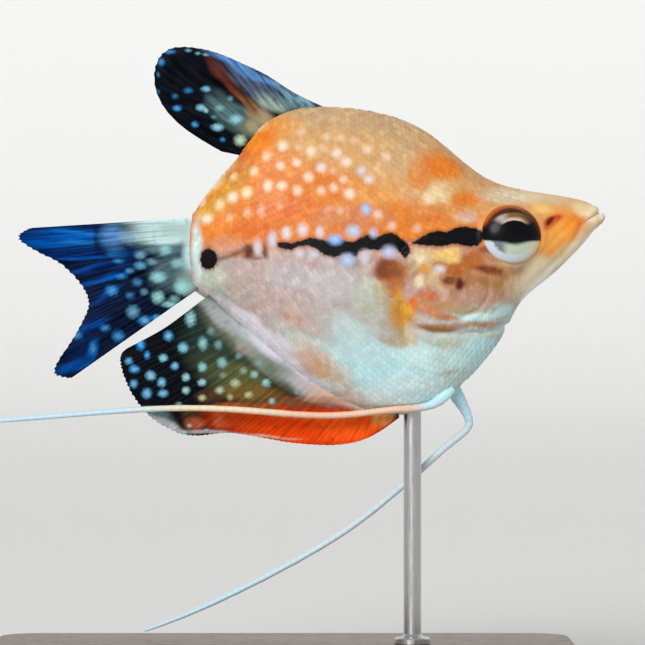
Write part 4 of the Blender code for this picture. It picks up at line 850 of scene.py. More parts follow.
def body_tint(points):
    """Orange to peach above the stripe's level, the peach towards the top being painted light from above,
    silver to mint below it, under the body's patches.
    """
    x, z = points[..., 0], points[..., 2]
    z = z + 0.5 * wobble(x, z, 6, SEED + 2)
    above = smooth((z - STRIPE_LEVEL[0]) / STRIPE_LEVEL[1])[..., None]
    # Painted light from above: the back turns paler, to tan peach, towards its top.
    high = smooth((z - LIT_BACK_LEVEL[0] + BACK_SLOPE * (x - BACK_FROM)) / LIT_BACK_LEVEL[1])[..., None]
    low = smooth((BELLY_LEVEL[0] - z) / BELLY_LEVEL[1])[..., None]
    upper = linear("orange") + (linear("tan peach") - linear("orange")) * high
    lower = linear("rosy silver") + (linear("mint") - linear("rosy silver")) * low
    return lay_patches(lower + (upper - lower) * above, points, BODY_PATCHES)


def past_band(x, z, rows):
    """How far outside a band a point lies: over its top, under its bottom or past an end. Below 0 in it."""
    place, top, bottom = np.array(rows).T
    beside = np.maximum(z - np.interp(x, place, top), np.interp(x, place, bottom) - z)
    return np.maximum(beside, np.maximum(place[0] - x, x - place[-1]))


def stripe_field(points):
    """How far outside the dark stripe and the spot in line with it a point lies."""
    x = points[..., 0] + 0.15 * np.sign(points[..., 1])
    z = points[..., 2]
    away = np.minimum(past_band(x, z, REAR_STRIPE), past_band(x, z, FRONT_STRIPE))
    return np.minimum(away, (off_oval(x, z, *TAIL_SPOT) - 1) * TAIL_SPOT[1][0])


def pearls_on_body():
    """Both sides' pearls, each as x, y, z and then as in the list. The left side's stray a little."""
    draw = np.random.default_rng(SEED + 4)
    right = np.array(BODY_PEARLS)
    left = right.copy()
    left[:, :2] += draw.uniform(-1, 1, (len(left), 2)) * LEFT_PEARLS_STRAY
    both = np.concatenate([right, left])
    side = np.repeat((-1, 1), len(right))
    return np.insert(both, 1, side * half_width(*both[:, :2].T), axis=1)


def pearl_fields(points, pearls):
    """Each point's nearest pearl: how far off it is, in the pearl's half sizes, its tone and its strength."""
    flat = points.reshape(-1, 3)
    nearest = np.empty(len(flat), int)
    far = np.empty(len(flat))
    for start in range(0, len(flat), PEARL_BATCH):
        part = slice(start, start + PEARL_BATCH)
        away = (flat[part, None] - pearls[None, :, :3]) / pearls[None][..., (3, 3, 4)]
        distance = np.linalg.norm(away, axis=-1)
        nearest[part] = distance.argmin(1)
        far[part] = distance.min(1)
    return {"pearl": far, "pearl_tone": pearls[nearest, 5], "pearl_strength": pearls[nearest, 6]}


def skin_fields(points, pearls):
    """All the markings that the skin and its scales share."""
    flat = points.reshape(-1, 3)
    fields = pearl_fields(flat, pearls)
    fields["tint"] = body_tint(flat)
    fields["stripe"] = stripe_field(flat)
    fields["red_line"] = crease(flat[:, 0], flat[:, 2], RED_LINE, 0.3)
    return fields


def node_maths(operation):
    """Two operators of Value that each add one Math node: its own value first, and its own value second."""
    return (
        lambda own, other: own.maths(operation, own, other),
        lambda own, other: own.maths(operation, other, own),
    )


class Value:
    """A number, colour or vector that varies over a surface. Arithmetic on it adds Math nodes."""

    def __init__(self, finish, socket):
        self.finish = finish
        self.socket = socket

    def maths(self, operation, *terms):
        return self.finish.add("Math", {"operation": operation}, dict(enumerate(terms)))

    def __abs__(self):
        return self.maths("ABSOLUTE", self)

    def sine(self):
        return self.maths("SINE", self)

    __add__, __radd__ = node_maths("ADD")
    __sub__, __rsub__ = node_maths("SUBTRACT")
    __mul__, __rmul__ = node_maths("MULTIPLY")
    __truediv__ = node_maths("DIVIDE")[0]
    __pow__ = node_maths("POWER")[0]


class Finish:
    """A material made of nodes round one Principled shader."""

    def __init__(self, name, **constants):
        self.material = bpy.data.materials.new(name)
        self.material.use_nodes = True
        self.tree = self.material.node_tree
        self.shader = self.tree.nodes["Principled BSDF"]
        self.feed(**constants)

    def add(self, kind, settings=None, inputs=None, output=0):
        """A node: its type, its settings and then its sockets' values or links. Gives one of its outputs."""
        node = self.tree.nodes.new("ShaderNode" + kind)
        for key, value in (settings or {}).items():
            setattr(node, key, value)
        for key, value in (inputs or {}).items():
            self.plug(node.inputs[key], value)
        return Value(self, node.outputs[output])

    def plug(self, socket, value):
        """Links a value to a socket, or sets the socket to a number, a vector, a colour or a named paint."""
        if isinstance(value, Value):
            self.tree.links.new(value.socket, socket)
        elif isinstance(value, str):
            socket.default_value = (*linear(value), 1.0)
        elif socket.type == "RGBA":
            socket.default_value = (*value, 1.0)
        else:
            socket.default_value = value

    def feed(self, **sockets):
        """Feeds the shader's own sockets."""
        for socket, value in sockets.items():
            self.plug(self.shader.inputs[socket.replace("_", " ")], value)

    def place(self):
        """The point of the surface in millimetres."""
        metres = self.add("TexCoord", output="Object")
        return self.add("VectorMath", {"operation": "SCALE"}, {0: metres, "Scale": 1 / MM})

    def parts(self, vector):
        """A vector's three numbers."""
        node = self.add("SeparateXYZ", None, {0: vector}).socket.node
        return [Value(self, socket) for socket in node.outputs]

    def stretched(self, vector, scale):
        """A vector with each of its numbers scaled by its own."""
        return self.add("VectorMath", {"operation": "MULTIPLY"}, {0: vector, 1: scale})

    def field(self, name, output="Fac"):
        """A value kept at the piece's points."""
        return self.add("Attribute", {"attribute_name": name}, output=output)

    def noise(self, vector, size, detail=2.0):
        """Noise round 0.5 whose lumps are about this many millimetres across."""
        settings = {"Vector": vector, "Scale": 1 / size, "Detail": detail, "Roughness": 0.5}
        return self.add("TexNoise", None, settings)

    def step(self, value, low, high, start=0.0, stop=1.0):
        """An even S from start to stop as the value goes from low to high."""
        return self.add(
            "MapRange", {"interpolation_type": "SMOOTHSTEP"}, {0: value, 1: low, 2: high, 3: start, 4: stop}
        )

    def mix(self, share, first, second, blend="MIX"):
        """Two colours mixed."""
        settings = {"data_type": "RGBA", "blend_type": blend}
        return self.add("Mix", settings, {0: share, 6: first, 7: second}, output=2)

    def layers(self, base, *rows):
        """Lays tints over a colour. A row has a value, where it starts and is full, a share and a tint."""
        for value, low, high, share, *tint in rows:
            base = self.mix(self.step(value, low, high) * share, base, *tint)
        return base

    def bump(self, height, depth, strength, **below):
        """Small relief, in millimetres, over the relief below it."""
        inputs = {"Height": height, "Distance": depth * MM, "Strength": strength, **below}
        return self.add("Bump", None, inputs)


def add_pearls(f, base, gold, pale, blue, ragged, painted_highlight, reach):
    """Lays the pearls over a colour: soft spots in three paints by their tone, with a paler middle painted as
    a highlight.

    Noise makes their edges ragged, and they fade out at reach, in their own half sizes. Gives the colour and
    how far each point is on a pearl.
    """
    tone = f.field("pearl_tone")
    paint = f.mix(f.step(tone, 0.0, 1.0), pale, blue)
    paint = f.mix(f.step(tone, 0.0, -1.0), paint, gold)
    away = f.field("pearl") + (f.noise(f.place(), 0.35) - 0.5) * ragged
    # The white middle of each pearl is a painted highlight.
    paint = f.layers(paint, (away, 0.75, 0.1, painted_highlight, "white"))
    mask = f.step(away, reach, 0.3) * f.field("pearl_strength")
    return f.mix(mask, base, paint), mask


def skin_finish():
    """Wet, faintly mottled skin with the dark stripe, the pearls and a rim on every scale."""
    f = Finish("fish_skin", Specular_IOR_Level=0.1, Coat_Roughness=0.2)
    place = f.place()
    mottle = f.noise(place, 1.3, 3.0)
    tone = f.field("tone")
    base = f.layers(
        f.field("tint", "Color"),
        (mottle, 0.42, 0.7, 0.16, (1.0, 0.93, 0.84), "SOFT_LIGHT"),
        (mottle, 0.5, 0.28, 0.2, (0.3, 0.12, 0.06), "SOFT_LIGHT"),
        (tone, 0.0, 1.0, 0.3, (1.0, 0.9, 0.8), "SOFT_LIGHT"),
        (tone, 0.0, -1.0, 0.1, (0.35, 0.12, 0.05), "MULTIPLY"),
        (f.field("rim"), 0.6, 1.0, 0.12, (0.5, 0.28, 0.2), "MULTIPLY"),
    )
    base = f.mix(f.field("red_line") * 0.8, base, "maroon")
    ragged = f.field("stripe") + (f.noise(place, 0.5) - 0.5) * 0.5
    base = f.layers(base, (ragged, 0.6, 0.0, 0.55, "chestnut"))
    dark = f.step(ragged, 0.16, -0.08)
    base = f.mix(dark, base, "black")
    base, pearl = add_pearls(f, base, "pearl gold", "pearl", "pearl blue", 0.3, 0.22, 1.55)
    f.feed(
        Base_Color=base,
        Roughness=0.44 + (mottle - 0.5) * 0.2 - pearl * 0.1,
        Coat_Weight=f.step(mottle, 0.3, 0.7, 0.06, 0.2) * f.step(dark, 1.0, 0.0),
        Normal=f.bump(f.noise(place, 0.16), 0.02, 0.5),
    )
    return f


def build_skin(finish, points, pearls):
    """One skin for all the flesh: the flank, its mirror image and a point that closes each end."""
    rings = np.concatenate([points, (points * (1, -1, 1))[:, -2:0:-1]], axis=1)
    ends = rings[0].mean(0) + (SKIN_TIP, 0, 0), rings[-1].mean(0) - (SKIN_TIP, 0, 0)
    flat = np.concatenate([rings.reshape(-1, 3), ends])
    fields = skin_fields(flat, pearls)
    made = make_piece("fish_skin", flat, tube_faces(*rings.shape[:2]), finish, "skin", sharp=70.0, **fields)
    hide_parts("head", "torso", "tail_stalk", "gill_cover_right", "gill_cover_left")


def scale_lattice(points, head):
    """Where scales sit on the head or body: grid row and column, how far the grid goes for one, and size.

    Columns lie evenly along the flank's middle line, each measured from that line up and down its own girth,
    every second one half a row higher.
    """
    size = HEAD_SCALES if head else 1.0
    step, row = SCALE_COLUMN * size, SCALE_ROW * size
    middle = points.shape[1] // 2
    columns = np.arange(points.shape[1], dtype=float)
    along = travelled(points[:, middle])
    places = np.interp(np.arange(step, along[-1], step), along, np.arange(len(along)))
    found = []
    for number, (place, pitch) in enumerate(zip(places, np.gradient(places))):
        girth = look_up(points, np.full(len(columns), place), columns)
        up = travelled(girth)
        level = up[middle] + row * (np.arange(-SCALE_LEVELS, SCALE_LEVELS) + 0.5 * (number % 2))
        level = level[(level > SCALE_MARGIN * row) & (level < up[-1] - SCALE_MARGIN * row)]
        at = np.interp(level, up, columns)
        x, z = (np.interp(level, up, girth[:, axis]) for axis in (0, 2))
        spread = row / np.maximum(np.interp(at, columns, np.gradient(up)), 0.02)
        wanted = (on_head(x, z) == head) & ~bare(x, z)
        found += [(place, a, pitch, b, size) for a, b in zip(at[wanted], spread[wanted])]
    return np.array(found)


def on_head(x, z):
    """In front of the head's back edge and over the gill opening."""
    edge_x, edge_z = np.array(HEAD_EDGE).T
    return (z > HEAD_FLOOR) & (x > np.interp(z, edge_z, edge_x))


def bare(x, z):
    """Places with no scale: snout, eye, gill cover's rim and gill opening."""
    place, wide, front = RIM_BARE
    rim = (np.abs(past_gill_edge(x, z) - place) < wide) & (x < front)
    *widths, most = CREASES_BARE
    grooves = sum(crease(x, z, path, width) for (path, *_), width in zip(CREASES, widths))
    return (off_oval(x, z, EYE, EYE_SIZE) < EYE_BARE) | (x > SNOUT_BARE) | rim | (grooves > most)


def build_scales(finish, points, out, pearls):
    """A coat of overlapping scales on each flank, the front of each under the ones before it.

    A scale is two sheets that share their rim. Along it the sheets rise from below the skin to a free rear
    edge, its width closes as a circle does towards that edge, and the upper sheet is a little domed.
    """
    roots = np.concatenate([scale_lattice(points, head) for head in (False, True)])
    at_row, at_column, pitch, spread, size = roots.T[..., None]
    draw = np.random.default_rng(SEED + 3)
    steps = np.linspace(-1, 1, SCALE_STEPS)
    a, b = (part.ravel() for part in np.meshgrid(steps, steps, indexing="ij"))
    inner = np.flatnonzero((np.abs(a) < 1) & (np.abs(b) < 1))
    a, b = np.append(a, a[inner]), np.append(b, b[inner])
    top = SCALE_STEPS**2
    rim = np.maximum(np.abs(a), np.abs(b))
    wide = np.sqrt(1 - SCALE_CLOSE * np.clip(a, 0, 1) ** 2) * (1 - SCALE_NECK * np.clip(-a, 0, 1))
    lift = SCALE_FRONT + (SCALE_REAR - SCALE_FRONT) * (a + 1) / 2
    lift += np.where(np.arange(len(a)) < top, SCALE_DOME * (1 - rim**2), -SCALE_THICKNESS * (rim < 1))
    sheet = grid_faces(SCALE_STEPS, SCALE_STEPS)
    under = np.arange(top)
    under[inner] = top + np.arange(len(inner))
    count = len(roots)
    for side, word in SIDES:
        stray = draw.uniform(-1, 1, (count, 3)) * SCALE_STRAY
        row = at_row + pitch * (SCALE_LENGTH * a + stray[:, :1])
        column = at_column + spread * (SCALE_WIDTH * b * wide + stray[:, 1:2])
        place = look_up(points, row, column)
        place += unit(look_up(out, row, column)) * (lift * size * (1 + stray[:, 2:]))[..., None]
        place *= (1, -side, 1)
        first = np.arange(count)[:, None, None] * len(a)
        faces = np.concatenate([sheet + first, under[sheet][:, ::-1] + first], axis=1).reshape(-1, 4)
        fields = skin_fields(place, pearls)
        fields["rim"] = np.tile(rim * (a > -0.5), count)
        fields["tone"] = np.repeat(draw.uniform(-1, 1, count), len(a))
        made = make_piece(f"scales_{word}", place.reshape(-1, 3), [faces], finish, "skin", **fields)
        u = at_row / points.shape[0] * UV_SPAN + UV_START + UV_PATCH / 2 * a
        v = at_column / points.shape[1] * UV_SPAN + UV_START + UV_PATCH / 2 * b
        add_uv(made, np.stack([u, v], -1).reshape(-1, 2))


def add_uv(piece, at_points):
    """The map that the coat's colours are kept by: each scale a small patch at its root's place."""
    mesh = piece.data
    corners = np.empty(len(mesh.loops), int)
    mesh.loops.foreach_get("vertex_index", corners)
    mesh.uv_layers.new(name="OFBake").data.foreach_set("uv", at_points[corners].astype(np.float32).ravel())


def ray_ridges(u, v, rays):
    """1 along every ray and 0 between rays: a bell across each ray, which forks into two towards the edge."""
    start, over, apart = FORK
    off = np.abs((u * rays) % 1 - 0.5)
    fork = apart * smooth((v - start) / over)
    width = RAY_HALF_WIDTH[0] + (RAY_HALF_WIDTH[1] - RAY_HALF_WIDTH[0]) * v
    return np.exp(-(((off - fork) / width) ** 2))


def fin_grid(root, edge, rays, rows, notch, flesh, reach, sway, seed):
    """A fin's middle sheet, its thickness, and ridges, shares of the way out and ray numbers, as grids.

    Straight rays join the root's line to the edge's. The edge is notched between rays by a share of their
    length, and the sheet strays sideways in waves that grow outwards. At the root it is thick with flesh, as
    far as the flesh reaches, and the ridges fade out there.
    """
    u = np.linspace(0, 1, rays * RAY_COLUMNS + 1)[None, :]
    v = np.linspace(0, 1, rows + 1)[:, None]
    draw = np.random.default_rng(seed)
    start, end = spline(root, u[0]), spline(edge, u[0])
    length = np.linalg.norm(end - start, axis=1, keepdims=True)
    inward = (start - end) / length
    frayed = np.interp(u[0] * rays, np.arange(rays) + 0.5, draw.uniform(0, 1, rays))
    short = notch * (1 - ray_ridges(u, np.ones((1, 1)), rays)[0]) + notch * FRAY * frayed
    end = end - (end - start) * short[:, None]
    start = start + inward * FIN_SINK
    flat = start + v[..., None] * (end - start)
    low, grows, over = RIDGE_ROOT
    ridge = ray_ridges(u, v, rays) * (low + (1 - low) * smooth((v - grows) / over))
    thick = MEMBRANE + (RAY_ROOT + (RAY_TIP - RAY_ROOT) * v) * ridge
    thick = thick + flesh * bell(np.maximum(v * length[:, 0] - FIN_SINK, 0), reach)
    most, growth, per_edge, per_ray, first = sway
    y = most * v**growth * np.sin(per_edge * u + per_ray * v + first)
    y = y + FIN_UNEVEN * wobble(flat[..., 0], flat[..., 1], FIN_LUMPS, seed)
    return np.stack([flat[..., 0], y, flat[..., 1]], -1), thinned(thick, v), ridge, v, u * rays


def thinned(thick, v):
    """A fin's thickness, drawn in to the rim's over the ends of its rays."""
    return thick + (RIM_THICKNESS - thick) * smooth((v - RIM_START) / (1 - RIM_START))


def on_both_faces(*grids):
    """Three grids of values kept together at the points of both of a fin's faces."""
    return np.tile(np.stack(np.broadcast_arrays(*grids), -1).reshape(-1, 3), (2, 1))


def two_faces(middle, thick):
    """Both faces of a thin sheet, moved out from its middle along y, and the faces that join their rims."""
    rows, columns = thick.shape
    half = thick[..., None] / 2 * np.array([0.0, 1.0, 0.0])
    points = np.concatenate([(middle + half).reshape(-1, 3), (middle - half).reshape(-1, 3)])
    sheet = grid_faces(rows, columns)
    other = rows * columns
    number = np.arange(other).reshape(rows, columns)
    rim = np.concatenate([number[0], number[1:, -1], number[-1, -2::-1], number[-2:0:-1, 0]])
    following = np.roll(rim, -1)
    joins = np.column_stack([following, rim, rim + other, following + other])
    return points, [sheet, sheet[:, ::-1] + other, joins]


def fin_finish():
    """Dark glossy membrane, its rays a little lighter, with the fins' pearls."""
    f = Finish("fin_membrane", Specular_IOR_Level=0.0, Coat_Roughness=0.25)
    place = f.place()
    ray = f.field("ray", "Vector")
    ridge, along, _ = f.parts(ray)
    cloud = f.noise(place, 0.9, 3.0)
    streak = f.noise(f.stretched(ray, (0.0, 2.6, 1.9)), 1.0, 3.0)
    streaky = f.field("streaky") * f.step(along, 0.12, 0.4)
    base = f.layers(
        f.field("tint", "Color"),
        (streak, 0.5, 0.68, streaky, (0.8, 0.9, 1.0), "SOFT_LIGHT"),
        (streak, 0.5, 0.36, streaky, (0.2, 0.24, 0.3), "MULTIPLY"),
        (ridge, 0.35, 1.0, 0.2, (0.9, 0.95, 1.0), "SOFT_LIGHT"),
        (ridge, 0.5, 0.0, 0.14, (0.35, 0.4, 0.5), "MULTIPLY"),
        (cloud, 0.45, 0.25, 0.4, (0.3, 0.3, 0.35), "MULTIPLY"),
    )
    base, pearl = add_pearls(f, base, "fin pearl olive", "fin pearl", "fin pearl blue", 0.7, 0.14, 1.3)
    joints = f.bump((along * 150.0).sine() * ridge, 0.02, 0.4)
    f.feed(
        Base_Color=base,
        Roughness=0.5 - pearl * 0.12 + (cloud - 0.5) * 0.2,
        Coat_Weight=pearl * 0.1 + 0.02,
        Normal=f.bump(f.noise(place, 0.25), 0.03, 0.4, Normal=joints),
    )
    return f


def build_fins():
    """The dorsal, anal and tail fins."""
    finish = fin_finish()
    for number, fin in enumerate(FINS):
        name, ground, rays, rows, notch, flesh, reach, streaky, root, edge, sway, patches, pearls = fin
        middle, thick, *ray = fin_grid(root, edge, rays, rows, notch, flesh, reach, sway, SEED + 7 + number)
        points, faces = two_faces(middle, thick)
        tint = lay_patches(np.tile(linear(ground), (len(points), 1)), points, patches, 0.25)
        fields = pearl_fields(points * (1, 0, 1), np.insert(np.array(pearls), 1, 0.0, axis=1))
        fields.update(tint=tint, ray=on_both_faces(*ray), streaky=np.full(len(points), streaky))
        made = make_piece(f"{name}_membrane", points, faces, finish, "fin_membrane", **fields)
        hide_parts(name)


def pectoral_finish():
    """Clear membrane, paler rays and an orange root."""
    f = Finish("pectoral_membrane", Specular_IOR_Level=0.3)
    ridge, along, _ = f.parts(f.field("ray", "Vector"))
    base = f.mix(f.step(along, 0.3, 0.02), "silver", "amber")
    f.feed(
        Base_Color=f.mix(ridge * 0.3, base, "cream"),
        Roughness=0.35 + (f.noise(f.place(), 1.2) - 0.5) * 0.2,
        Alpha=f.step(along, 0.3, 0.06) * 0.12 + ridge * 0.1 + 0.06,
        Normal=f.bump((along * 120.0).sine() * ridge, 0.03, 0.6),
    )
    return f


def build_pectoral_fins():
    """A clear fan on each flank that steps out from behind the gill cover and then lies back along it."""
    finish = pectoral_finish()
    u = np.linspace(0, 1, PECTORAL_RAYS * RAY_COLUMNS + 1)[None, :]
    v = np.linspace(0, 1, PECTORAL_ROWS + 1)[:, None]
    ridge = ray_ridges(u, v, PECTORAL_RAYS)
    reach, turn = spline(PECTORAL_REACH, u[0]).T
    angle = np.radians(turn)
    x, z = PECTORAL_PLACE
    start = np.column_stack([np.full(u.shape[1], x), z + PECTORAL_BASE * (0.5 - u[0])])
    notch = 1 - PECTORAL_NOTCH * (1 - ray_ridges(u, np.ones((1, 1)), PECTORAL_RAYS)[0])
    flat = start + v[..., None] * (reach * notch)[:, None] * np.column_stack([np.cos(angle), np.sin(angle)])
    behind = x - flat[..., 0] + PECTORAL_FAN * np.abs(flat[..., 1] - start[:, 1])
    out = half_width(x, z) - PECTORAL_SINK + PECTORAL_SHOULDER * (1 - np.exp(-behind))
    out = out + math.tan(math.radians(PECTORAL_SPLAY)) * behind
    membrane, ray, thinning, root, reach = PECTORAL_THICK
    thick = thinned(membrane + (ray - thinning * v) * ridge + root * bell(v, reach), v)
    for side, word in SIDES:
        points, faces = two_faces(np.stack([flat[..., 0], side * out, flat[..., 1]], -1), thick)
        fields = on_both_faces(ridge, v, 0.0)
        made = make_piece(f"pectoral_membrane_{word}", points, faces, finish, "fin_membrane", ray=fields)
        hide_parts(f"pectoral_fin_{word}")


def eye_finish():
    """The stripe's black band through the pupil, a gold arc over it that is partly iris and partly painted
    highlight, grey-green and a white crescent under it.
    """
    f = Finish("eye", Roughness=0.3, Coat_Weight=0.08, Coat_Roughness=0.12, Specular_IOR_Level=0.1)
    place = f.place()
    x, _, z = f.parts(place)
    grain = f.noise(place, 0.3, 3.0)
    dx, dz = x - EYE[0], z - EYE[1]
    wavy = (grain - 0.5) * 0.12
    out = ((dx / EYE_SIZE[0]) ** 2.0 + (dz / EYE_SIZE[1]) ** 2.0) ** 0.5 + wavy
    pupil = (((dx - 0.2) / 2.0) ** 2.0 + ((dz - 0.35) / 1.42) ** 2.0) ** 0.5 + wavy
    above = (dz - 0.35) / (pupil + 0.01)
    black = (0.002, 0.002, 0.003)
    white = f.mix(f.step(dx, 0.6, 3.4), (0.56, 0.65, 0.71), "cream")
    lower = f.layers(
        f.mix(f.step(pupil, 1.0, 1.5), "pine", "green silver"),
        (dx, -0.4, -1.8, 0.8, "slate"),
        (out, 0.62, 0.74, 1.0, white),
        (out, 0.86, 0.97, 1.0, "tan peach"),
    )
    # The gold arc over the pupil is partly the iris's own ring and partly a painted highlight.
    gold = f.mix(f.step(pupil, 1.15, 1.5), "blush", "bronze")
    gold = f.layers(gold, (dx, -0.3, -1.6, 1.0, "taupe"), (dx, 0.8, 2.0, 0.7, "umber"))
    arc = f.step(pupil, 1.0, 1.12) * f.step(pupil, 1.95, 1.7) * f.step(above, 0.7, 1.15)
    rim = f.step(out, 0.7, 0.84) * f.step(dz + dx * 0.1, 0.2, 1.6)
    base = f.mix(rim, f.mix(arc, black, gold), f.mix(f.step(out, 0.84, 0.95), "mahogany", "rust"))
    base = f.layers(
        base,
        (dz - abs(dx) * 0.06, -0.9, -1.3, 1.0, lower),
        (pupil, 1.1, 0.95, 1.0, black),
        (grain, 0.45, 0.7, 0.3, (0.8, 0.8, 0.7), "SOFT_LIGHT"),
    )
    f.feed(Base_Color=base)
    return f


def build_eyes():
    """A ball flattened along the way it looks: a grid of latitudes and longitudes round that axis."""
    finish = eye_finish()
    rows, around = EYE_GRID
    tilt = np.linspace(-QUARTER_TURN, QUARTER_TURN, rows + 1)[1:-1, None]
    turn = np.linspace(0, FULL_TURN, around, endpoint=False)[None, :]
    local = np.stack([np.cos(tilt) * np.cos(turn), np.sin(tilt) + 0 * turn, np.cos(tilt) * np.sin(turn)], -1)
    for side, word in SIDES:
        place, out = on_skin(*EYE, side)
        forward = unit(np.array([1.0, 0.0, 0.0]) - out * out[0])
        sizes = [[EYE_SIZE[0]], [EYE_DEPTH], [EYE_SIZE[1]]]
        arms = np.array([forward, out, np.cross(forward, out)]) * sizes
        centre = place + out * (EYE_STANDS_OUT - EYE_DEPTH)
        ends = [centre - arms[1], centre + arms[1]]
        points = np.concatenate([(centre + local @ arms).reshape(-1, 3), ends])
        faces = tube_faces(rows - 1, around)
        made = make_piece(f"eyeball_{word}", points, faces, finish, "eye", sharp=90.0)
        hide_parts(f"eye_{word}")


def feeler_finish():
    """Ringed like a jointed ray, in pale icy blue. The right one is peach and cream for half its length."""
    f = Finish("feeler", Specular_IOR_Level=0.3, Coat_Roughness=0.25)
    along = f.field("along")
    cloud = f.noise(f.place(), 1.1, 3.0)
    joints = (along * 520.0).sine()
    warm = f.mix(f.step(along, 0.5, 0.62), "peach", "pale cream")
    base = f.layers(
        f.mix(f.step(along, 0.14, 0.26) * f.step(along, 0.78, 0.66) * f.field("peach"), "pale ice", warm),
        (cloud, 0.4, 0.7, 0.2, "lilac"),
        (along, 0.1, 0.03, 1.0, "aqua"),
        (joints, 0.6, 1.0, 0.14, "taupe"),
    )
    f.feed(Base_Color=base, Roughness=0.4 + (cloud - 0.5) * 0.2, Normal=f.bump(joints, 0.03, 0.5))
    return f


def build_feelers():
    """Each pelvic fin as one tapering tube, its section flatter and broader where it leaves the body."""
    finish = feeler_finish()
    rings, sides = FEELER_GRID
    s = np.linspace(0, FEELER_END, rings)
    turn = np.linspace(0, FULL_TURN, sides, endpoint=False)[None, :, None]
    for (side, word), knots, peach in zip(SIDES, (RIGHT_FEELER, LEFT_FEELER), (1.0, 0.2)):
        x, z, off, radius = np.array(knots).T
        row = spline(np.column_stack([x, side * (half_width(x, z) + off), z, radius]), s)
        line = row[:, :3]
        root = np.clip(1 - s / FEELER_ROOT, 0, 1)
        uneven = FEELER_UNEVEN * wobble(s, 0, FEELER_LUMPS, SEED + 10 + side)
        thick = row[:, 3] * (1 - FEELER_THIN * root) * (1 + uneven)
        along = unit(np.gradient(line, axis=0))
        across = unit(np.column_stack([-along[:, 2], np.zeros(rings), along[:, 0]]))
        broad = (thick * (1 + FEELER_BROAD * root))[:, None, None]
        tube = line[:, None] + broad * np.cos(turn) * across[:, None]
        tube = tube + thick[:, None, None] * np.sin(turn) * np.cross(along, across)[:, None]
        points = np.concatenate([tube.reshape(-1, 3), [line[0], line[-1]]])
        fields = {"along": np.append(np.repeat(s, sides), [0.0, 1.0]), "peach": np.full(len(points), peach)}
        faces = tube_faces(rings, sides)
        made = make_piece(f"feeler_{word}", points, faces, finish, "feeler", sharp=80.0, **fields)
        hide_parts(*(f"feeler_{word}_{part}" for part in ("base", "middle", "tip")))


def wood_finish():
    """Dark oiled wood with its grain along the base, fine pores and a satin sheen."""
    f = Finish("stand_wood", Specular_IOR_Level=0.4)
    place = f.place()
    swirl = f.noise(f.stretched(place, (0.25, 1.0, 1.0)), 9.0)
    rings = f.noise(f.stretched(place, (0.05, 1.0, 1.0)), 1.6, 4.0) + swirl * 0.6
    pores = f.noise(f.stretched(place, (0.1, 1.0, 1.0)), 0.22)
    base = f.mix(f.step(rings, 0.55, 1.05), (0.052, 0.022, 0.011), (0.165, 0.078, 0.036))
    f.feed(
        Base_Color=f.layers(base, (pores, 0.42, 0.3, 0.6, (0.3, 0.25, 0.2), "MULTIPLY")),
        Roughness=0.36 + f.step(pores, 0.45, 0.3) * 0.3,
        Normal=f.bump(pores, 0.05, 0.4),
    )
    return f


def steel_finish():
    """Brushed steel, its scratches running up the rod."""
    f = Finish("stand_steel", Metallic=1.0)
    brushed = f.noise(f.stretched(f.place(), (1.0, 1.0, 0.03)), 0.12, 3.0)
    f.feed(
        Base_Color=f.mix(brushed, (0.42, 0.42, 0.43), (0.66, 0.66, 0.66)),
        Roughness=f.step(brushed, 0.3, 0.7, 0.22, 0.4),
        Normal=f.bump(brushed, 0.01, 0.4),
    )
    return f


def rounded_outline(length, width, corner, steps=14):
    """A rectangle about the origin with round corners, as x and y."""
    arc = np.linspace(0, QUARTER_TURN, steps)
    points = []
    for quarter, (sx, sy) in enumerate(((1, 1), (-1, 1), (-1, -1), (1, -1))):
        turn = arc + quarter * QUARTER_TURN
        x = sx * (length / 2 - corner) + corner * np.cos(turn)
        y = sy * (width / 2 - corner) + corner * np.sin(turn)
        points.append(np.column_stack([x, y]))
    return np.concatenate(points)


def build_stand():
    """The base, its outline carried up a profile with eased edges, and a rod turned from its own profile."""
    ease = [(1 - math.sin(t), 1 - math.cos(t)) for t in np.linspace(0, QUARTER_TURN, 6)]
    profile = [(BASE_FOOT * low, BASE_FOOT * high) for low, high in ease]
    profile += [(BASE_BEVEL * high, BASE_HEIGHT - BASE_BEVEL * low) for low, high in ease]
    rings = []
    for inset, z in profile:
        flat = rounded_outline(BASE_LENGTH - 2 * inset, BASE_WIDTH - 2 * inset, BASE_CORNER - inset)
        rings.append(np.column_stack([flat, np.full(len(flat), z)]))
    around = np.arange(len(rings[0]))
    top = (len(rings) - 1) * len(around)
    faces = [grid_faces(len(rings), len(around), closed=True), around[::-1][None], top + around[None]]
    base = make_piece("display_base", np.concatenate(rings), faces, wood_finish(), "stand_wood", sharp=50.0)
    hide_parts("stand_base")

    foot = BASE_HEIGHT - ROD_FOOT
    turned = [(ROD_RADIUS, foot), (ROD_RADIUS, BASE_HEIGHT + FLANGE[0][1])]
    turned += [(radius, BASE_HEIGHT + high) for radius, high in FLANGE] + [(ROD_RADIUS, ROD_TOP)]
    turn = np.linspace(0, FULL_TURN, ROD_SIDES, endpoint=False)
    rings = [np.column_stack([ROD_X + r * np.cos(turn), r * np.sin(turn), 0 * turn + z]) for r, z in turned]
    points = np.concatenate([*rings, [(ROD_X, 0.0, foot), (ROD_X, 0.0, ROD_TOP)]])
    faces = tube_faces(len(rings), ROD_SIDES)
    rod = make_piece("display_rod", points, faces, steel_finish(), "stand_steel", sharp=30.0)
    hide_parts("stand_rod")


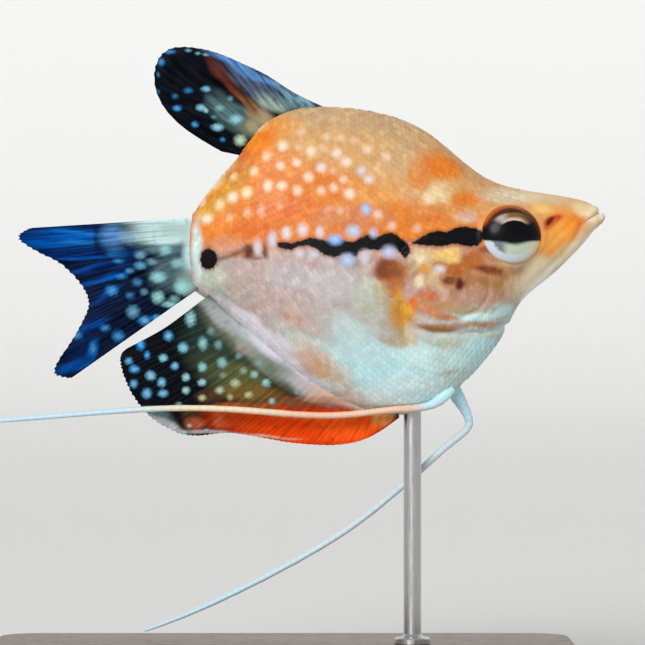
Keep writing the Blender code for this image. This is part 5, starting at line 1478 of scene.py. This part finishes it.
def build_stage():
    """A pale floor that curves up into a backdrop far behind, soft lights and the camera."""
    scene = bpy.context.scene
    f = Finish("stage", Roughness=0.9, Specular_IOR_Level=0.1, Base_Color=STAGE_TINT)
    front, reach, rise, half, top = FLOOR
    bend = np.linspace(0, QUARTER_TURN, 24)
    path = [(reach + rise * math.sin(t), rise * (1 - math.cos(t))) for t in bend]
    path = [(front, 0.0), *path, (reach + rise, top)]
    points = np.array([[(x, y, z) for x in (half, -half)] for y, z in path]).reshape(-1, 3)
    floor = make_piece("floor", points, [grid_faces(len(path), 2)], f, None, sharp=90.0)
    if floor.data.polygons[0].normal.z < 0:
        floor.data.flip_normals()

    world = scene.world = bpy.data.worlds.new("studio")
    world.use_nodes = True
    nodes, links = world.node_tree.nodes, world.node_tree.links
    room, wall = nodes["Background"], nodes.new("ShaderNodeBackground")
    for shade, tint, strength in ((room, (1.0, 1.0, 1.0), ROOM_LIGHT), (wall, STAGE_TINT, 1.0)):
        shade.inputs["Color"].default_value = (*tint, 1.0)
        shade.inputs["Strength"].default_value = strength
    seen = nodes.new("ShaderNodeLightPath")
    chosen = nodes.new("ShaderNodeMixShader")
    for number, socket in enumerate((seen.outputs["Is Camera Ray"], room.outputs[0], wall.outputs[0])):
        links.new(socket, chosen.inputs[number])
    links.new(chosen.outputs[0], nodes["World Output"].inputs["Surface"])

    for name, height, turn, breadth, power in LAMPS:
        lamp = bpy.data.lights.new(name, "SUN")
        lamp.angle = math.radians(breadth)
        lamp.energy = power
        holder = bpy.data.objects.new(name, lamp)
        holder.rotation_euler = (math.radians(90 - height), 0.0, math.radians(turn))
        scene.collection.objects.link(holder)

    lens = bpy.data.cameras.new("camera")
    lens.lens = CAMERA_LENS
    lens.sensor_width = SENSOR
    lens.clip_end = 20.0
    camera = scene.camera = bpy.data.objects.new("camera", lens)
    camera.location = tuple(part * MM for part in CAMERA_PLACE)
    camera.rotation_euler = (QUARTER_TURN, 0.0, 0.0)
    scene.collection.objects.link(camera)
    scene.view_settings.view_transform = "Standard"


def main():
    points, out = flank()
    pearls = pearls_on_body()
    finish = skin_finish()
    build_skin(finish, points, pearls)
    build_scales(finish, points, out, pearls)
    build_eyes()
    build_fins()
    build_pectoral_fins()
    build_feelers()
    build_stand()
    build_stage()


main()
